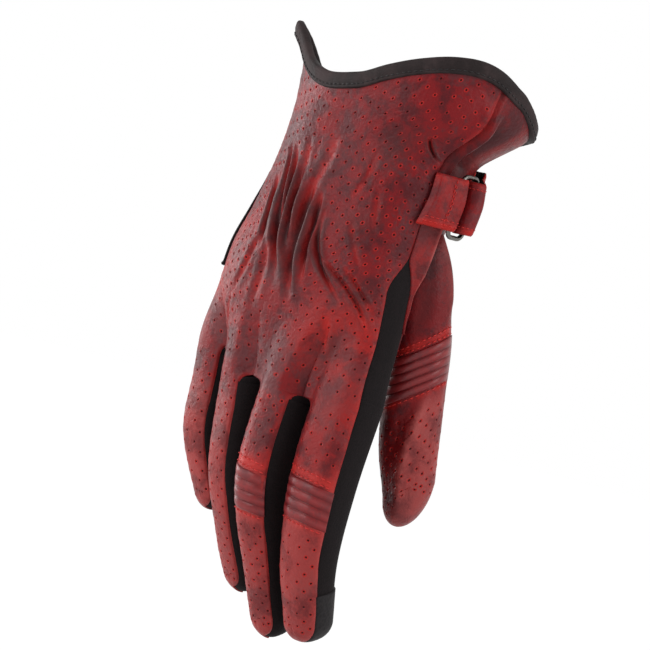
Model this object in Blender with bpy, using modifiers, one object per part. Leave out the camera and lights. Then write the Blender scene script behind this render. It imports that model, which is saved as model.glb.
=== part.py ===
"""Short leather riding glove for the right hand, as it hangs on a hand with the fingers down.

The glove is a set of thin sewn panels. Every panel is a strip of one of two kinds of surface: the hand,
a tube whose oval section changes from the cuff to the finger crotch, and the digits, tubes along a bent
spine with a rounded end. Sizes are in millimetres and become metres when a mesh is made.

Frame: origin in the middle of the cuff mouth, +Z from the fingertips to the cuff, -Y out of the back of
the hand, +X to the thumb side. "down" is the distance below the origin, so z = -down.
"""

import bmesh
import bpy
import numpy as np

MM = 0.001
MERGE = 0.02  # points nearer than this become one

WALL = 1.2  # leather with its backing
SEAM = 0.03  # half the angle left open at a seam on a digit, in radians
EDGE_SEAM = 0.013  # the same at the sides of the hand, where the oval turns fastest
END_GAP = 0.6  # along a digit, between pieces that meet end to end
CROTCH = 138.0  # down to the bottom of the hand tube
BLEND_FROM = 106.0  # down to where the hand starts to take the shape of the finger roots
SPINE_POINTS = 30
WRAP_COLUMNS = 2  # more columns where a panel goes on round the little finger's outer flank
FINGER_COLUMNS = 6
ROOT_PLACE = 0.09  # along a finger, where its own section starts below the crotch
FOLD_RISE = 3.0  # of a fourchette over the crotch
FOLD_SEAM = 0.08  # angle left open beside a fourchette or sidewall
HAND_ROWS = 15
TIP_FANS = (30, 60, 90)  # degrees from a flank to the tip of a digit, one for each row round it
LITTLE_FAN_END = 80  # the little finger's sidewall stops short of its tip
CUT_CLEAR = 0.6  # between the thumb and the hand panels that it goes through
SIDE_ANGLE = np.radians(33)  # half the sidewall of a finger, measured from its side

HAND_POWER = 2.4  # superellipse powers: 2 is an ellipse, more is boxier
FINGER_POWER = 2.6
THUMB_POWER = 2.2

# The hand tube: down, centre x, centre y, half width, half depth.
HAND = (
    (-14, 6.0, 1.5, 52.0, 40.0),
    (0, 4.0, 1.5, 50.0, 38.5),
    (18, 0.0, -2.0, 45.5, 33.5),
    (32, -2.0, -5.0, 43.5, 30.0),
    (50, -3.0, -8.0, 43.0, 28.0),
    (68, -5.5, -11.5, 42.5, 27.5),
    (85, -7.5, -15.0, 43.5, 25.5),
    (100, -8.0, -16.5, 45.5, 23.0),
    (115, -8.0, -17.5, 47.0, 21.0),
    (130, -8.5, -18.5, 46.5, 18.5),
    (145, -8.0, -19.0, 45.0, 16.5),
)

# The mouth of the cuff: angle in degrees, down. It is highest over the thumb side and on the ulnar edge.
MOUTH = (
    (-180, 3), (-168, 10), (-150, 15), (-120, 19), (-90, 20), (-55, 19), (-35, 12), (-10, 1.5), (9, -5),
    (25, -7.5), (40, -6), (55, -1.5), (72, 5), (93, 11), (109, 12.5), (128, 9), (145, 2), (160, -4.5),
    (170, -3), (180, 3),
)  # fmt: skip

# Spines: x, y, z, half width, half depth. The first row is the crotch, the last the centre of the round end.
DIGITS = {
    "index": {
        "spine": ((26.3, -20.8, -138, 12.0, 13.4), (25.8, -23.4, -176, 11.6, 12.8),
                  (25.0, -19.0, -205, 10.2, 10.8), (24.0, -10.5, -227, 8.6, 9.4)),
        "end": 10.5, "knuckle": 0.37, "ribs": 0.57,
    },
    "middle": {
        "spine": ((2.0, -27.2, -138, 11.3, 13.2), (2.0, -29.5, -176, 11.0, 12.4),
                  (2.0, -17.4, -207, 9.8, 10.6), (2.0, -7.5, -228, 8.6, 9.2)),
        "end": 11.0, "knuckle": 0.36, "ribs": 0.55,
    },
    "ring_finger": {
        "spine": ((-21.6, -26.6, -138, 11.0, 12.6), (-20.5, -23.6, -174, 10.5, 11.8),
                  (-19.5, -13.3, -200, 9.4, 10.2), (-19.0, -6.7, -214, 8.6, 9.2)),
        "end": 10.5, "knuckle": 0.42, "ribs": None,
    },
    "little": {
        "spine": ((-43.2, -20.8, -138, 9.8, 11.4), (-41.5, -19.5, -163, 9.4, 10.8),
                  (-39.8, -15.5, -178, 8.8, 9.8), (-39.0, -12.5, -187, 8.2, 9.0)),
        "end": 10.0, "knuckle": 0.47, "ribs": None,
    },
    "thumb": {
        "spine": ((20.0, -6.0, -54, 6.0, 5.5), (24.0, -1.5, -65, 10.5, 9.5), (27.0, 3.0, -77, 13.6, 12.0),
                  (31.0, 9.5, -104, 14.4, 12.4), (31.5, 12.8, -130, 13.6, 12.2),
                  (32.0, 15.2, -148, 13.2, 11.8), (33.2, 18.2, -166, 12.0, 11.0)),
        "end": 14.5, "knuckle": 0.47, "ribs": 0.67,
    },
}  # fmt: skip
FINGERS = ("index", "middle", "ring_finger", "little")
THUMB_TURN = np.radians(42)  # the thumb's back faces this far from the back of the hand
THUMB_SLANT = np.radians(28)  # its seams run this far out of square, higher on the outer side
CORE_DOWN = (24.0, 126.0)  # the stretch of the hand that the thumb comes out of
THUMB_START = 0.06  # along the thumb, the top of its gusset

PATCH_PLACE = 0.86  # along the index, where its black tip patch starts
RIB_COUNT = 4
RIB_HEIGHT = 1.4
RIB_TAPER = (0.45, 0.8)  # ribs grow from nothing to full height over these sines of the angle
SIDE_STRIP_TOP = 73.0  # down to the point of the black strip beside the index finger
SIDE_STRIP_FULL = 92.0  # down to where it has its full width
SIDE_STRIP_BACK = 15.0  # degrees from the thumb-side seam to the strip's edges
SIDE_STRIP_PALM = 23.0
STRIP_SEAM = 0.03
RADIAL_SEAM = ((-14, 6), (14, 13), (32, 13), (50, 11), (73, 3), (150, 3))  # down, angle in degrees
ULNAR_STRIP = (52.0, 96.0)  # down to its two points
ULNAR_HALF = np.radians(10)
ULNAR_INSET = 6.0  # its points are cut off this far in
ELASTIC_DOWN = (64.0, 74.0)
ELASTIC_ANGLES = (75.0, 150.0)  # degrees
ELASTIC_CLEAR = 0.6  # under the leather
ELASTIC_WALL = 0.8

BINDING_HEIGHT = 7.0
BINDING_THICK = 3.6
BINDING_ROUND = 0.7  # power of its section: 1 is an ellipse, less is boxier
CUFF_GAP = 1.2  # between the binding and the panels' edges

STRAP_DOWN = (39.0, 61.0)
STRAP_WALL = 1.4
RING_ANGLE = -10.0  # degrees round from the thumb side
RING_REACH = 4.5  # ring bars lie this far each side of the ring's middle
RING_WIRE = 1.0
RING_STAND = 5.2  # bars above the leather
TAB_EYE = 3.1  # outer radius of the leather round the ring's bar
STRAP_EYE = 4.2
STRAP_CLEAR = 0.8  # under the strap
TAB_TOP = 4.4  # height of the tab's upper ply
STRAP_BENDS = {"tab": (15.0, 16.0), "strap": (11.0, 15.0)}  # degrees from the ring, lower and upper ply
TAB_TURN = (-80.0, 95.0)  # of the leather round a bar, from the palm direction to outwards
STRAP_TURN = (-85.0, -275.0)
TAB_END = 14.0  # degrees round the wrist, as are the next ones
TAB_TOP_END = 13.0
STRAP_SEWN_END = -150.0
FLAP_START = -30.0
FLAP_GAP = 0.8
FLAP_END = -105.0
LOOP_PATCH = (-38.0, -101.0)
HOOK_PATCH = (-40.0, -99.0)
RING_OVER = 3.0  # past the strap's edges
RING_CORNER = 2.0
# Outer faces of the strap's layers above the leather.
STRAP_LAYERS = {"strap": 2.2, "loop_patch": 3.4, "hook_patch": 4.6, "flap": 6.4}
PATCH_WALL = 0.8

RED = (0.36, 0.035, 0.035, 1)
DARK_RED = (0.22, 0.02, 0.025, 1)
BLACK = (0.012, 0.012, 0.013, 1)
CHARCOAL = (0.03, 0.03, 0.032, 1)
NICKEL = (0.55, 0.53, 0.50, 1)
FINISHES = {
    "perforated_leather": (RED, 0.5, 0),
    "smooth_leather": (RED, 0.4, 0),
    "rib_leather": (DARK_RED, 0.4, 0),
    "stretch_knit": (BLACK, 0.9, 0),
    "touch_patch": (BLACK, 0.6, 0),
    "binding": (CHARCOAL, 0.7, 0),
    "nickel": (NICKEL, 0.3, 1),
    "elastic": (BLACK, 0.8, 0),
    "hook_and_loop": (BLACK, 0.95, 0),
}


def through(stations, where):
    """The stations' values at where, on a smooth curve through their rows; the first column is the key."""
    stations = np.asarray(stations, float)
    keys, values = stations[:, 0], stations[:, 1:]
    slopes = np.gradient(values, keys, axis=0)
    where = np.clip(np.asarray(where, float), keys[0], keys[-1])
    i = np.clip(np.searchsorted(keys, where) - 1, 0, len(keys) - 2)
    step = (keys[i + 1] - keys[i])[..., None]
    t = (where - keys[i])[..., None] / step
    return (
        values[i] * (1 + 2 * t) * (1 - t) ** 2
        + values[i + 1] * t**2 * (3 - 2 * t)
        + step * t * (1 - t) * (slopes[i] * (1 - t) - slopes[i + 1] * t)
    )


def ramp(value, start, end):
    t = np.clip((np.asarray(value, float) - start) / (end - start), 0, 1)
    return t * t * (3 - 2 * t)


def signed_power(value, power):
    return np.sign(value) * np.abs(value) ** power


def unit(vectors):
    return vectors / np.linalg.norm(vectors, axis=-1, keepdims=True)


# Surfaces


def hand_point(down, angle, grow=0.0):
    """A point of the hand tube; angle 0 is the thumb side, 90 degrees the back of the hand."""
    down, angle = np.broadcast_arrays(np.asarray(down, float), np.asarray(angle, float))
    cx, cy, width, depth = np.moveaxis(through(HAND, down), -1, 0)
    x = cx + (width + grow) * signed_power(np.cos(angle), 2 / HAND_POWER)
    y = cy - (depth + grow) * signed_power(np.sin(angle), 2 / HAND_POWER)
    return np.stack([x, y, -down], axis=-1)


def mouth_down(angle):
    return through(MOUTH, np.degrees(angle))[..., 0]


class Digit:
    """A finger or thumb: a tube along a spine, place 0 at its root and 1 at the centre of its round end."""

    def __init__(self, name):
        facts = DIGITS[name]
        spine = np.array(facts["spine"])
        run = np.r_[0, np.cumsum(np.linalg.norm(np.diff(spine[:, :3], axis=0), axis=1))]
        self.length = run[-1]
        self.stations = np.c_[run / run[-1], spine]
        self.end = facts["end"]
        self.knuckle = facts["knuckle"]
        self.ribs = facts["ribs"]
        self.power = THUMB_POWER if name == "thumb" else FINGER_POWER
        self.turn = THUMB_TURN if name == "thumb" else 0.0
        self.slant = THUMB_SLANT if name == "thumb" else 0.0

    def frame(self, place):
        """Centre, direction to the tip, sideways, out of the back, half width and half depth."""
        at = through(self.stations, place)
        step = 0.01
        ahead = through(self.stations, np.asarray(place) + step)[..., :3]
        behind = through(self.stations, np.asarray(place) - step)[..., :3]
        tip = unit(ahead - behind)
        across = np.array([np.cos(self.turn), np.sin(self.turn), 0.0])
        across = unit(across - tip * (tip @ across)[..., None])
        back = unit(np.cross(tip, across))
        across = across * np.cos(self.slant) - tip * np.sin(self.slant)
        return at[..., :3], tip, across, back, at[..., 3:4], at[..., 4:5]

    def point(self, place, angle, fan=0.0, grow=0.0):
        """A surface point: angle 0 is the thumb-side flank, 90 degrees the back; fan turns it to the tip."""
        place, angle, fan = np.broadcast_arrays(
            np.asarray(place, float), np.asarray(angle, float), np.asarray(fan, float)
        )
        centre, tip, across, back, width, depth = self.frame(place)
        side = signed_power(np.cos(angle), 2 / self.power)[..., None]
        rise = signed_power(np.sin(angle), 2 / self.power)[..., None]
        fan = fan[..., None]
        return (
            centre
            + side * (width + grow) * np.cos(fan) * across
            + np.abs(side) * (self.end + grow) * np.sin(fan) * tip
            + rise * (depth + grow) * back
        )

    def gap(self):
        return END_GAP / self.length


digits = {name: Digit(name) for name in DIGITS}


# Meshes


def finish(name):
    material = bpy.data.materials.get(name)
    if material is None:
        colour, roughness, metallic = FINISHES[name]
        material = bpy.data.materials.new(name)
        material.use_nodes = True
        shader = material.node_tree.nodes["Principled BSDF"]
        shader.inputs["Base Color"].default_value = colour
        shader.inputs["Roughness"].default_value = roughness
        shader.inputs["Metallic"].default_value = metallic
    return material


def add_object(name, mesh, material, collection):
    piece = bpy.data.objects.new(name, mesh)
    collection.objects.link(piece)
    if material:
        mesh.materials.append(finish(material))
    mesh.shade_smooth()
    return piece


def grid_faces(rows, columns, wrap_rows=False, wrap_columns=False):
    """The quads of a grid whose points run row by row."""
    r = np.arange(rows if wrap_rows else rows - 1)[:, None]
    c = np.arange(columns if wrap_columns else columns - 1)[None, :]
    r_next, c_next = (r + 1) % rows, (c + 1) % columns
    here, below = r * columns, r_next * columns
    return np.stack([here + c, here + c_next, below + c_next, below + c], axis=-1).reshape(-1, 4)


def surface_mesh(name, grids, away_from, **wrap):
    """One mesh from grids of points, shared points merged, that faces away from what away_from gives."""
    mesh = bpy.data.meshes.new(name)
    points = np.concatenate([grid.reshape(-1, 3) for grid in grids])
    starts = np.cumsum([0] + [grid.shape[0] * grid.shape[1] for grid in grids[:-1]])
    faces = [start + grid_faces(*grid.shape[:2], **wrap) for start, grid in zip(starts, grids)]
    mesh.from_pydata(points * MM, [], np.concatenate(faces).tolist())
    work = bmesh.new()
    work.from_mesh(mesh)
    bmesh.ops.remove_doubles(work, verts=work.verts, dist=MERGE * MM)
    bmesh.ops.dissolve_degenerate(work, edges=work.edges, dist=MERGE * MM)
    work.normal_update()
    outward = 0.0
    for face in work.faces:
        middle = np.array(face.calc_center_median()) / MM
        outward += float(np.dot(middle - away_from(middle), face.normal)) * face.calc_area()
    if outward < 0:
        bmesh.ops.reverse_faces(work, faces=work.faces)
    work.to_mesh(mesh)
    work.free()
    return mesh


def nearest(line):
    """A function that gives the nearest of a line's points to a point."""
    return lambda point: line[np.argmin(np.linalg.norm(line - point, axis=1))]


def hand_axis(point):
    cx, cy = through(HAND, -point[2])[:2]
    return np.array([cx, cy, point[2]])


def digit_axis(digit):
    return nearest(digit.frame(np.linspace(0, 1, SPINE_POINTS))[0])


def panel(name, grids, material, away_from, wall=WALL, **wrap):
    """A leather panel: an open surface thickened inwards."""
    piece = add_object(name, surface_mesh(name, grids, away_from, **wrap), material, glove)
    solid = piece.modifiers.new("Thickness", "SOLIDIFY")
    solid.thickness = wall * MM
    solid.offset = -1
    return piece


def cutter(name, grid, away_from):
    """A closed solid from rings of points, with its two ends filled."""
    mesh = surface_mesh(name, [grid], away_from, wrap_columns=True)
    work = bmesh.new()
    work.from_mesh(mesh)
    bmesh.ops.holes_fill(work, edges=[edge for edge in work.edges if edge.is_boundary])
    bmesh.ops.recalc_face_normals(work, faces=work.faces)
    work.to_mesh(mesh)
    work.free()
    piece = add_object(name, mesh, None, cutters)
    piece.hide_render = True
    piece.display_type = "WIRE"
    return piece


def cut(piece, tool):
    modifier = piece.modifiers.new("Opening", "BOOLEAN")
    modifier.operation = "DIFFERENCE"
    modifier.object = tool


# Hand panels


def radial_edges(down):
    """Angles of the back's and the palm's edges on the thumb side, before the black strip's gap."""
    share = ramp(down, SIDE_STRIP_TOP, SIDE_STRIP_FULL)
    seam = through(RADIAL_SEAM, down)[..., 0]
    return np.radians(seam + SIDE_STRIP_BACK * share), np.radians(seam - SIDE_STRIP_PALM * share)


def ulnar_half(down):
    """Half the angle of the lens-shaped black strip on the little-finger side."""
    top, foot = ULNAR_STRIP
    return ULNAR_HALF * np.sin(np.pi * np.clip((down - top) / (foot - top), 0, 1))


def finger_angles(name, side):
    """Angles across the back or palm of a finger; the little finger has a sidewall on one flank only."""
    far = SEAM if name == "little" else SIDE_ANGLE + SEAM
    return side * np.linspace(SIDE_ANGLE + SEAM, np.pi - far, FINGER_COLUMNS + 1)


def crotch_columns(side):
    """x and y of the hand's last row: the finger roots side by side, neighbours sharing one point."""
    rows = [digits[name].point(0, finger_angles(name, side))[:, :2] for name in FINGERS]
    out = [rows[0][:1]]
    for row, after in zip(rows, rows[1:] + [None]):
        out.append(row[1:-1])
        out.append(row[-1:] if after is None else (row[-1:] + after[:1]) / 2)
    return np.concatenate(out)


def settle(points, root_xy, down):
    """Draws hand points to the finger roots over the last stretch above the crotch."""
    share = ramp(down, BLEND_FROM, CROTCH)[..., None]
    points[..., :2] = points[..., :2] * (1 - share) + root_xy * share
    return points


def comb_angle(down, across, side):
    """Angle round the hand of a place across the back or palm, 0 at the thumb-side edge, 1 at the other."""
    back_edge, palm_edge = radial_edges(down)
    near = back_edge + EDGE_SEAM if side > 0 else palm_edge - EDGE_SEAM
    far = side * (np.pi - ulnar_half(down) - EDGE_SEAM)
    return near + across * (far - near)


def comb(name, side, material):
    """Hand and upper fingers in one piece; side is 1 for the back and -1 for the palm."""
    columns = len(FINGERS) * FINGER_COLUMNS + 1
    across = np.linspace(0, 1, columns)[None, :]
    along = np.linspace(0, 1, HAND_ROWS)[:, None]
    top = 0.0
    for _ in range(4):
        top = mouth_down(comb_angle(top, across, side)) + BINDING_HEIGHT / 2 + CUFF_GAP
    down = top + along * (CROTCH - top)
    angle = comb_angle(down, across, side)
    hand = settle(hand_point(down, angle), crotch_columns(side), down)
    grids = [hand]
    for i, finger in enumerate(FINGERS):
        digit = digits[finger]
        places = np.linspace(ROOT_PLACE, digit.knuckle - digit.gap(), 4)[:, None]
        lower = digit.point(places, finger_angles(finger, side)[None, :])
        root = hand[-1:, i * FINGER_COLUMNS : (i + 1) * FINGER_COLUMNS + 1]
        grids.append(np.concatenate([root, lower]))
    return panel(name, grids, material, hand_axis)


def side_strip():
    """The black strip from a point beside the thumb down the index finger to its knuckle."""
    across = np.linspace(0, 1, 5)[None, :]
    down = np.linspace(SIDE_STRIP_TOP + 4, CROTCH, 13)[:, None]
    back_edge, palm_edge = radial_edges(down)
    angle = (back_edge - STRIP_SEAM) * (1 - across) + (palm_edge + STRIP_SEAM) * across
    index = digits["index"]
    flank = np.linspace(SIDE_ANGLE - SEAM, -SIDE_ANGLE + SEAM, 5)
    hand = settle(hand_point(down, angle), index.point(0, flank)[:, :2], np.broadcast_to(down, angle.shape))
    places = np.linspace(ROOT_PLACE, index.knuckle - index.gap(), 4)[:, None]
    grid = np.concatenate([hand, index.point(places, flank[None, :])])
    return panel("index_side_strip", [grid], "stretch_knit", hand_axis)


def ulnar_strip():
    top, foot = ULNAR_STRIP
    down = np.linspace(top + ULNAR_INSET, foot - ULNAR_INSET, 9)[:, None]
    half = ulnar_half(down) - EDGE_SEAM
    grid = hand_point(down, np.pi + half * np.linspace(-1, 1, 4)[None, :])
    return panel("ulnar_side_strip", [grid], "stretch_knit", hand_axis)


def fourchette(outer, inner):
    """The folded strip between two fingers: down the flank of one, over the crotch and down the other."""
    first, second = digits[outer], digits[inner]
    spread = np.linspace(SIDE_ANGLE - FOLD_SEAM, -SIDE_ANGLE + FOLD_SEAM, 5)[None, :]
    first_places = np.linspace(first.knuckle - first.gap(), ROOT_PLACE, 4)[:, None]
    second_places = np.linspace(ROOT_PLACE, second.knuckle - second.gap(), 4)[:, None]
    leg = first.point(first_places, np.pi - spread)
    other = second.point(second_places, spread)
    fold = (leg[-1:] + other[:1]) / 2 + np.array([0, 0, FOLD_RISE])
    grid = np.concatenate([leg, fold, other])
    spines = np.concatenate([digit.frame(np.linspace(0, 1, SPINE_POINTS))[0] for digit in (first, second)])
    return panel(f"{outer}_{inner}_fourchette", [grid], "stretch_knit", nearest(spines))


def cuff_binding():
    """The folded tape round the mouth: an upright rounded section carried round the edge."""
    angle = np.linspace(-np.pi, np.pi, 60, endpoint=False)[:, None]
    turn = np.linspace(0, 2 * np.pi, 8, endpoint=False)[None, :]
    down = mouth_down(angle) + BINDING_HEIGHT / 2 * signed_power(np.cos(turn), BINDING_ROUND)
    middle = -WALL / 2 + BINDING_THICK / 2 * signed_power(np.sin(turn), BINDING_ROUND)
    grid = hand_point(mouth_down(angle) + 0 * turn, angle + 0 * turn, middle)
    grid[..., 2] = -down
    middle_line = nearest(grid.mean(axis=1))
    mesh = surface_mesh("cuff_binding", [grid], middle_line, wrap_rows=True, wrap_columns=True)
    return add_object("cuff_binding", mesh, "binding", glove)


def gather_elastic():
    """The band under the leather that draws up the gathers on the back of the hand."""
    down = np.linspace(*ELASTIC_DOWN, 3)[:, None]
    angle = np.radians(np.linspace(*ELASTIC_ANGLES, 9))[None, :]
    grid = hand_point(down, angle, -WALL - ELASTIC_CLEAR)
    return panel("gather_elastic", [grid], "elastic", hand_axis, ELASTIC_WALL)


# Finger ends


def finger_cap(digit, side, start, near, far):
    """Back or palm of a finger end: rows along the digit, then rows that fan round its tip."""
    angles = np.linspace(near, np.pi - near, FINGER_COLUMNS + 1)
    if far < near:
        angles = np.r_[angles, np.linspace(np.pi - near, np.pi - far, WRAP_COLUMNS + 1)[1:]]
    angles = side * angles
    rows = digit.point(np.linspace(start, 1, 6)[:, None], angles[None, :])
    return np.concatenate([rows, digit.point(1.0, angles[None, :], np.radians(TIP_FANS)[:, None])])


def flank(digit, start, stop, far=False):
    """Rows of one sidewall between two places; far is the little-finger side."""
    spread = np.linspace(SIDE_ANGLE - FOLD_SEAM, -SIDE_ANGLE + FOLD_SEAM, 4)[None, :]
    return digit.point(np.linspace(start, stop, 6)[:, None], np.pi - spread if far else spread)


def tip_wall(digit, fans, far=False):
    spread = np.linspace(SIDE_ANGLE - FOLD_SEAM, -SIDE_ANGLE + FOLD_SEAM, 4)[None, :]
    return digit.point(1.0, np.pi - spread if far else spread, np.radians(fans)[:, None])


def sidewall(digit, start):
    """The strip round a finger end, from one flank round the tip to the other."""
    near = [flank(digit, start, 1), tip_wall(digit, TIP_FANS)]
    far = [tip_wall(digit, TIP_FANS[-2::-1], True), flank(digit, 1, start, True)]
    return np.concatenate(near + far)


def ribs(name, digit, near, far):
    """Padded ribs across the knuckle."""
    rows = 4 * RIB_COUNT + 1
    share = np.linspace(0, 1, rows)[:, None]
    place = digit.knuckle + digit.gap() + share * (digit.ribs - digit.knuckle - 2 * digit.gap())
    swell = RIB_HEIGHT * np.abs(np.sin(np.pi * RIB_COUNT * share))[..., None]
    angles = np.linspace(near, np.pi - far, FINGER_COLUMNS + 1)[None, :]
    taper = ramp(np.sin(angles), *RIB_TAPER)[..., None]
    grid = digit.point(place, angles, grow=swell * taper)
    return panel(f"{name}_knuckle_ribs", [grid], "rib_leather", digit_axis(digit))


def finger_end(name):
    digit = digits[name]
    start = digit.knuckle + digit.gap()
    axis = digit_axis(digit)
    near = SIDE_ANGLE + SEAM
    far = SEAM if name == "little" else near
    if digit.ribs:
        ribs(name, digit, near, far)
    back_start = digit.ribs + digit.gap() if digit.ribs else start
    panel(f"{name}_end_back", [finger_cap(digit, 1, back_start, near, far)], "perforated_leather", axis)
    panel(f"{name}_end_palm", [finger_cap(digit, -1, start, near, far)], "smooth_leather", axis)
    if name == "index":
        stop = PATCH_PLACE - digit.gap()
        panel("index_end_outer_wall", [flank(digit, start, stop)], "stretch_knit", axis)
        panel("index_end_inner_wall", [flank(digit, start, stop, True)], "stretch_knit", axis)
        panel("index_end_touch_patch", [sidewall(digit, PATCH_PLACE)], "touch_patch", axis)
    elif name == "little":
        rows = [flank(digit, start, 1), tip_wall(digit, (*TIP_FANS[:-1], LITTLE_FAN_END))]
        panel("little_end_sidewall", [np.concatenate(rows)], "stretch_knit", axis)
    else:
        panel(f"{name}_end_sidewall", [sidewall(digit, start)], "stretch_knit", axis)


# Thumb


def thumb():
    """The gusset, a tube that comes out of the palm, with the ribs and the end; its core cuts the hand."""
    digit = digits["thumb"]
    axis = digit_axis(digit)
    start = digit.knuckle + digit.gap()
    ring = np.linspace(0, 2 * np.pi, 20, endpoint=False)[None, :]
    tube = digit.point(np.linspace(THUMB_START, digit.knuckle - digit.gap(), 9)[:, None], ring)
    gusset = panel("thumb_gusset", [tube], "smooth_leather", axis, wrap_columns=True)
    ribs("thumb", digit, SEAM, SEAM)
    back = finger_cap(digit, 1, digit.ribs + digit.gap(), SEAM, SEAM)
    panel("thumb_end_back", [back], "perforated_leather", axis)
    panel("thumb_end_palm", [finger_cap(digit, -1, start, SEAM, SEAM)], "smooth_leather", axis)
    core = digit.point(np.linspace(0.0, digit.knuckle, 10)[:, None], ring, grow=CUT_CLEAR)
    return gusset, cutter("thumb_core", core, axis)


def hand_core():
    """The inside of the hand, which the gusset stays out of."""
    ring = np.linspace(0, 2 * np.pi, 32, endpoint=False)[None, :]
    grid = hand_point(np.linspace(*CORE_DOWN, 14)[:, None], ring, CUT_CLEAR)
    return cutter("hand_core", grid, hand_axis)


# Wrist strap


def wrist_path(degrees, stand, down):
    """Points round the wrist at one level, a given height above the leather."""
    return hand_point(down, np.radians(degrees), stand)


def ring_frame(down):
    """Middle of the ring on the leather, the direction out of it and the direction round to the palm."""
    middle, ahead, behind = wrist_path(RING_ANGLE + np.array([0, -1, 1]), 0.0, down)
    along = unit(ahead - behind)
    return middle, np.array([along[1], -along[0], 0.0]), along


def bar_centre(bar, down):
    middle, out, along = ring_frame(down)
    return middle + along * bar + out * RING_STAND


def eye(bar, radius, start, end, down):
    """An arc of leather round one bar of the ring."""
    _, out, along = ring_frame(down)
    turn = np.radians(np.linspace(start, end, 9))[:, None]
    return bar_centre(bar, down) + radius * (np.cos(turn) * along + np.sin(turn) * out)


def standing(name, path, inside, material, wall=STRAP_WALL):
    """A strip standing on edge along a path round the wrist, facing away from the inside points."""
    grid = np.stack([path(down) for down in STRAP_DOWN])
    core = inside(np.mean(STRAP_DOWN))
    return panel(name, [grid], material, nearest(core), wall)


def strap_tab():
    """The sewn tab, folded round one bar of the ring."""
    lower, upper = STRAP_BENDS["tab"]

    def path(down):
        below = wrist_path(np.linspace(TAB_END, RING_ANGLE + lower, 6), STRAP_CLEAR, down)
        above = wrist_path(np.linspace(RING_ANGLE + upper, TAB_TOP_END, 4), TAB_TOP, down)
        return np.concatenate([below, eye(-RING_REACH, TAB_EYE, *TAB_TURN, down), above])

    def inside(down):
        between = wrist_path(np.linspace(TAB_END, RING_ANGLE + lower, 12), (STRAP_CLEAR + TAB_TOP) / 2, down)
        return np.concatenate([between, [bar_centre(-RING_REACH, down)]])

    return standing("strap_tab", path, inside, "smooth_leather")


def closure_strap():
    """From its sewn end on the palm side to the ring, through it and back over itself."""
    lower, upper = STRAP_BENDS["strap"]

    def path(down):
        below = wrist_path(np.linspace(STRAP_SEWN_END, RING_ANGLE - lower, 12), STRAP_CLEAR, down)
        ends = np.array([RING_ANGLE - upper, FLAP_START + FLAP_GAP])
        above = wrist_path(ends, STRAP_LAYERS["flap"], down)
        return np.concatenate([below, eye(RING_REACH, STRAP_EYE, *STRAP_TURN, down), above])

    def inside(down):
        between = wrist_path(np.linspace(STRAP_SEWN_END, RING_ANGLE - lower, 20), STRAP_LAYERS["strap"], down)
        return np.concatenate([between, [bar_centre(RING_REACH, down)]])

    return standing("closure_strap", path, inside, "smooth_leather")


def strap_layer(name, layer, start, end, wall, material):
    return standing(
        name,
        lambda down: wrist_path(np.linspace(start, end, 8), STRAP_LAYERS[layer], down),
        lambda down: wrist_path(np.linspace(start, end, 20), 0.0, down),
        material,
        wall,
    )


def strap_ring():
    """A rectangle of wire that hangs in the tab."""
    curve = bpy.data.curves.new("strap_ring", "CURVE")
    curve.dimensions = "3D"
    curve.bevel_depth = RING_WIRE * MM
    curve.bevel_resolution = 2
    spline = curve.splines.new("POLY")
    turn = np.radians(np.arange(15, 90, 30))
    corner = np.c_[np.cos(turn), np.sin(turn)] * RING_CORNER - RING_CORNER
    points = []
    for side, end in ((1, -1), (-1, -1), (-1, 1), (1, 1)):
        edge = STRAP_DOWN[0] if end < 0 else STRAP_DOWN[1]
        for inset_along, inset_down in corner if side * end < 0 else corner[::-1]:
            down = edge + end * (RING_OVER + inset_down)
            points.append(bar_centre(side * (RING_REACH + inset_along), down))
    spline.points.add(len(points) - 1)
    for point, at in zip(spline.points, points):
        point.co = (*(at * MM), 1)
    spline.use_cyclic_u = True
    piece = bpy.data.objects.new("strap_ring", curve)
    glove.objects.link(piece)
    curve.materials.append(finish("nickel"))
    return piece


def strap():
    strap_tab()
    closure_strap()
    strap_layer("loop_patch", "loop_patch", *LOOP_PATCH, PATCH_WALL, "hook_and_loop")
    flap = strap_layer("strap_flap", "flap", FLAP_START, FLAP_END, STRAP_WALL, "smooth_leather")
    hooks = strap_layer("hook_patch", "hook_patch", *HOOK_PATCH, PATCH_WALL, "hook_and_loop")
    turn_on("strap_flap", lambda down: wrist_path(FLAP_START, STRAP_LAYERS["flap"], down), (flap, hooks))
    turn_on("strap_ring", lambda down: bar_centre(-RING_REACH, down), (strap_ring(),))


# Joints


def hang(name, place, axis, pieces):
    """Hangs pieces on an empty that stands on their joint's axis."""
    hinge = bpy.data.objects.new(f"{name}_hinge", None)
    hinge.location = place * MM
    hinge.empty_display_size = 0.01
    glove.objects.link(hinge)
    for piece in pieces:
        piece.parent = hinge
        piece.location = -hinge.location
    print(name, "hinge at", np.round(place * MM, 5).tolist(), "along", np.round(axis, 4).tolist())


def turn_on(name, line, pieces):
    """A joint of the strap, whose axis runs along a line up the wrist."""
    top, foot = (line(down) for down in STRAP_DOWN)
    hang(name, (top + foot) / 2, unit(top - foot), pieces)


def digit_hinge(name):
    """A knuckle's axis: across the digit, on the palm side of the joint's opening."""
    digit = digits[name]
    ends = tuple(f"{name}_{part}" for part in ("end", "knuckle"))
    pieces = [piece for piece in glove.objects if piece.name.startswith(ends)]
    hang(name, digit.point(digit.knuckle, -np.pi / 2), digit.frame(digit.knuckle)[2], pieces)


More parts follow.
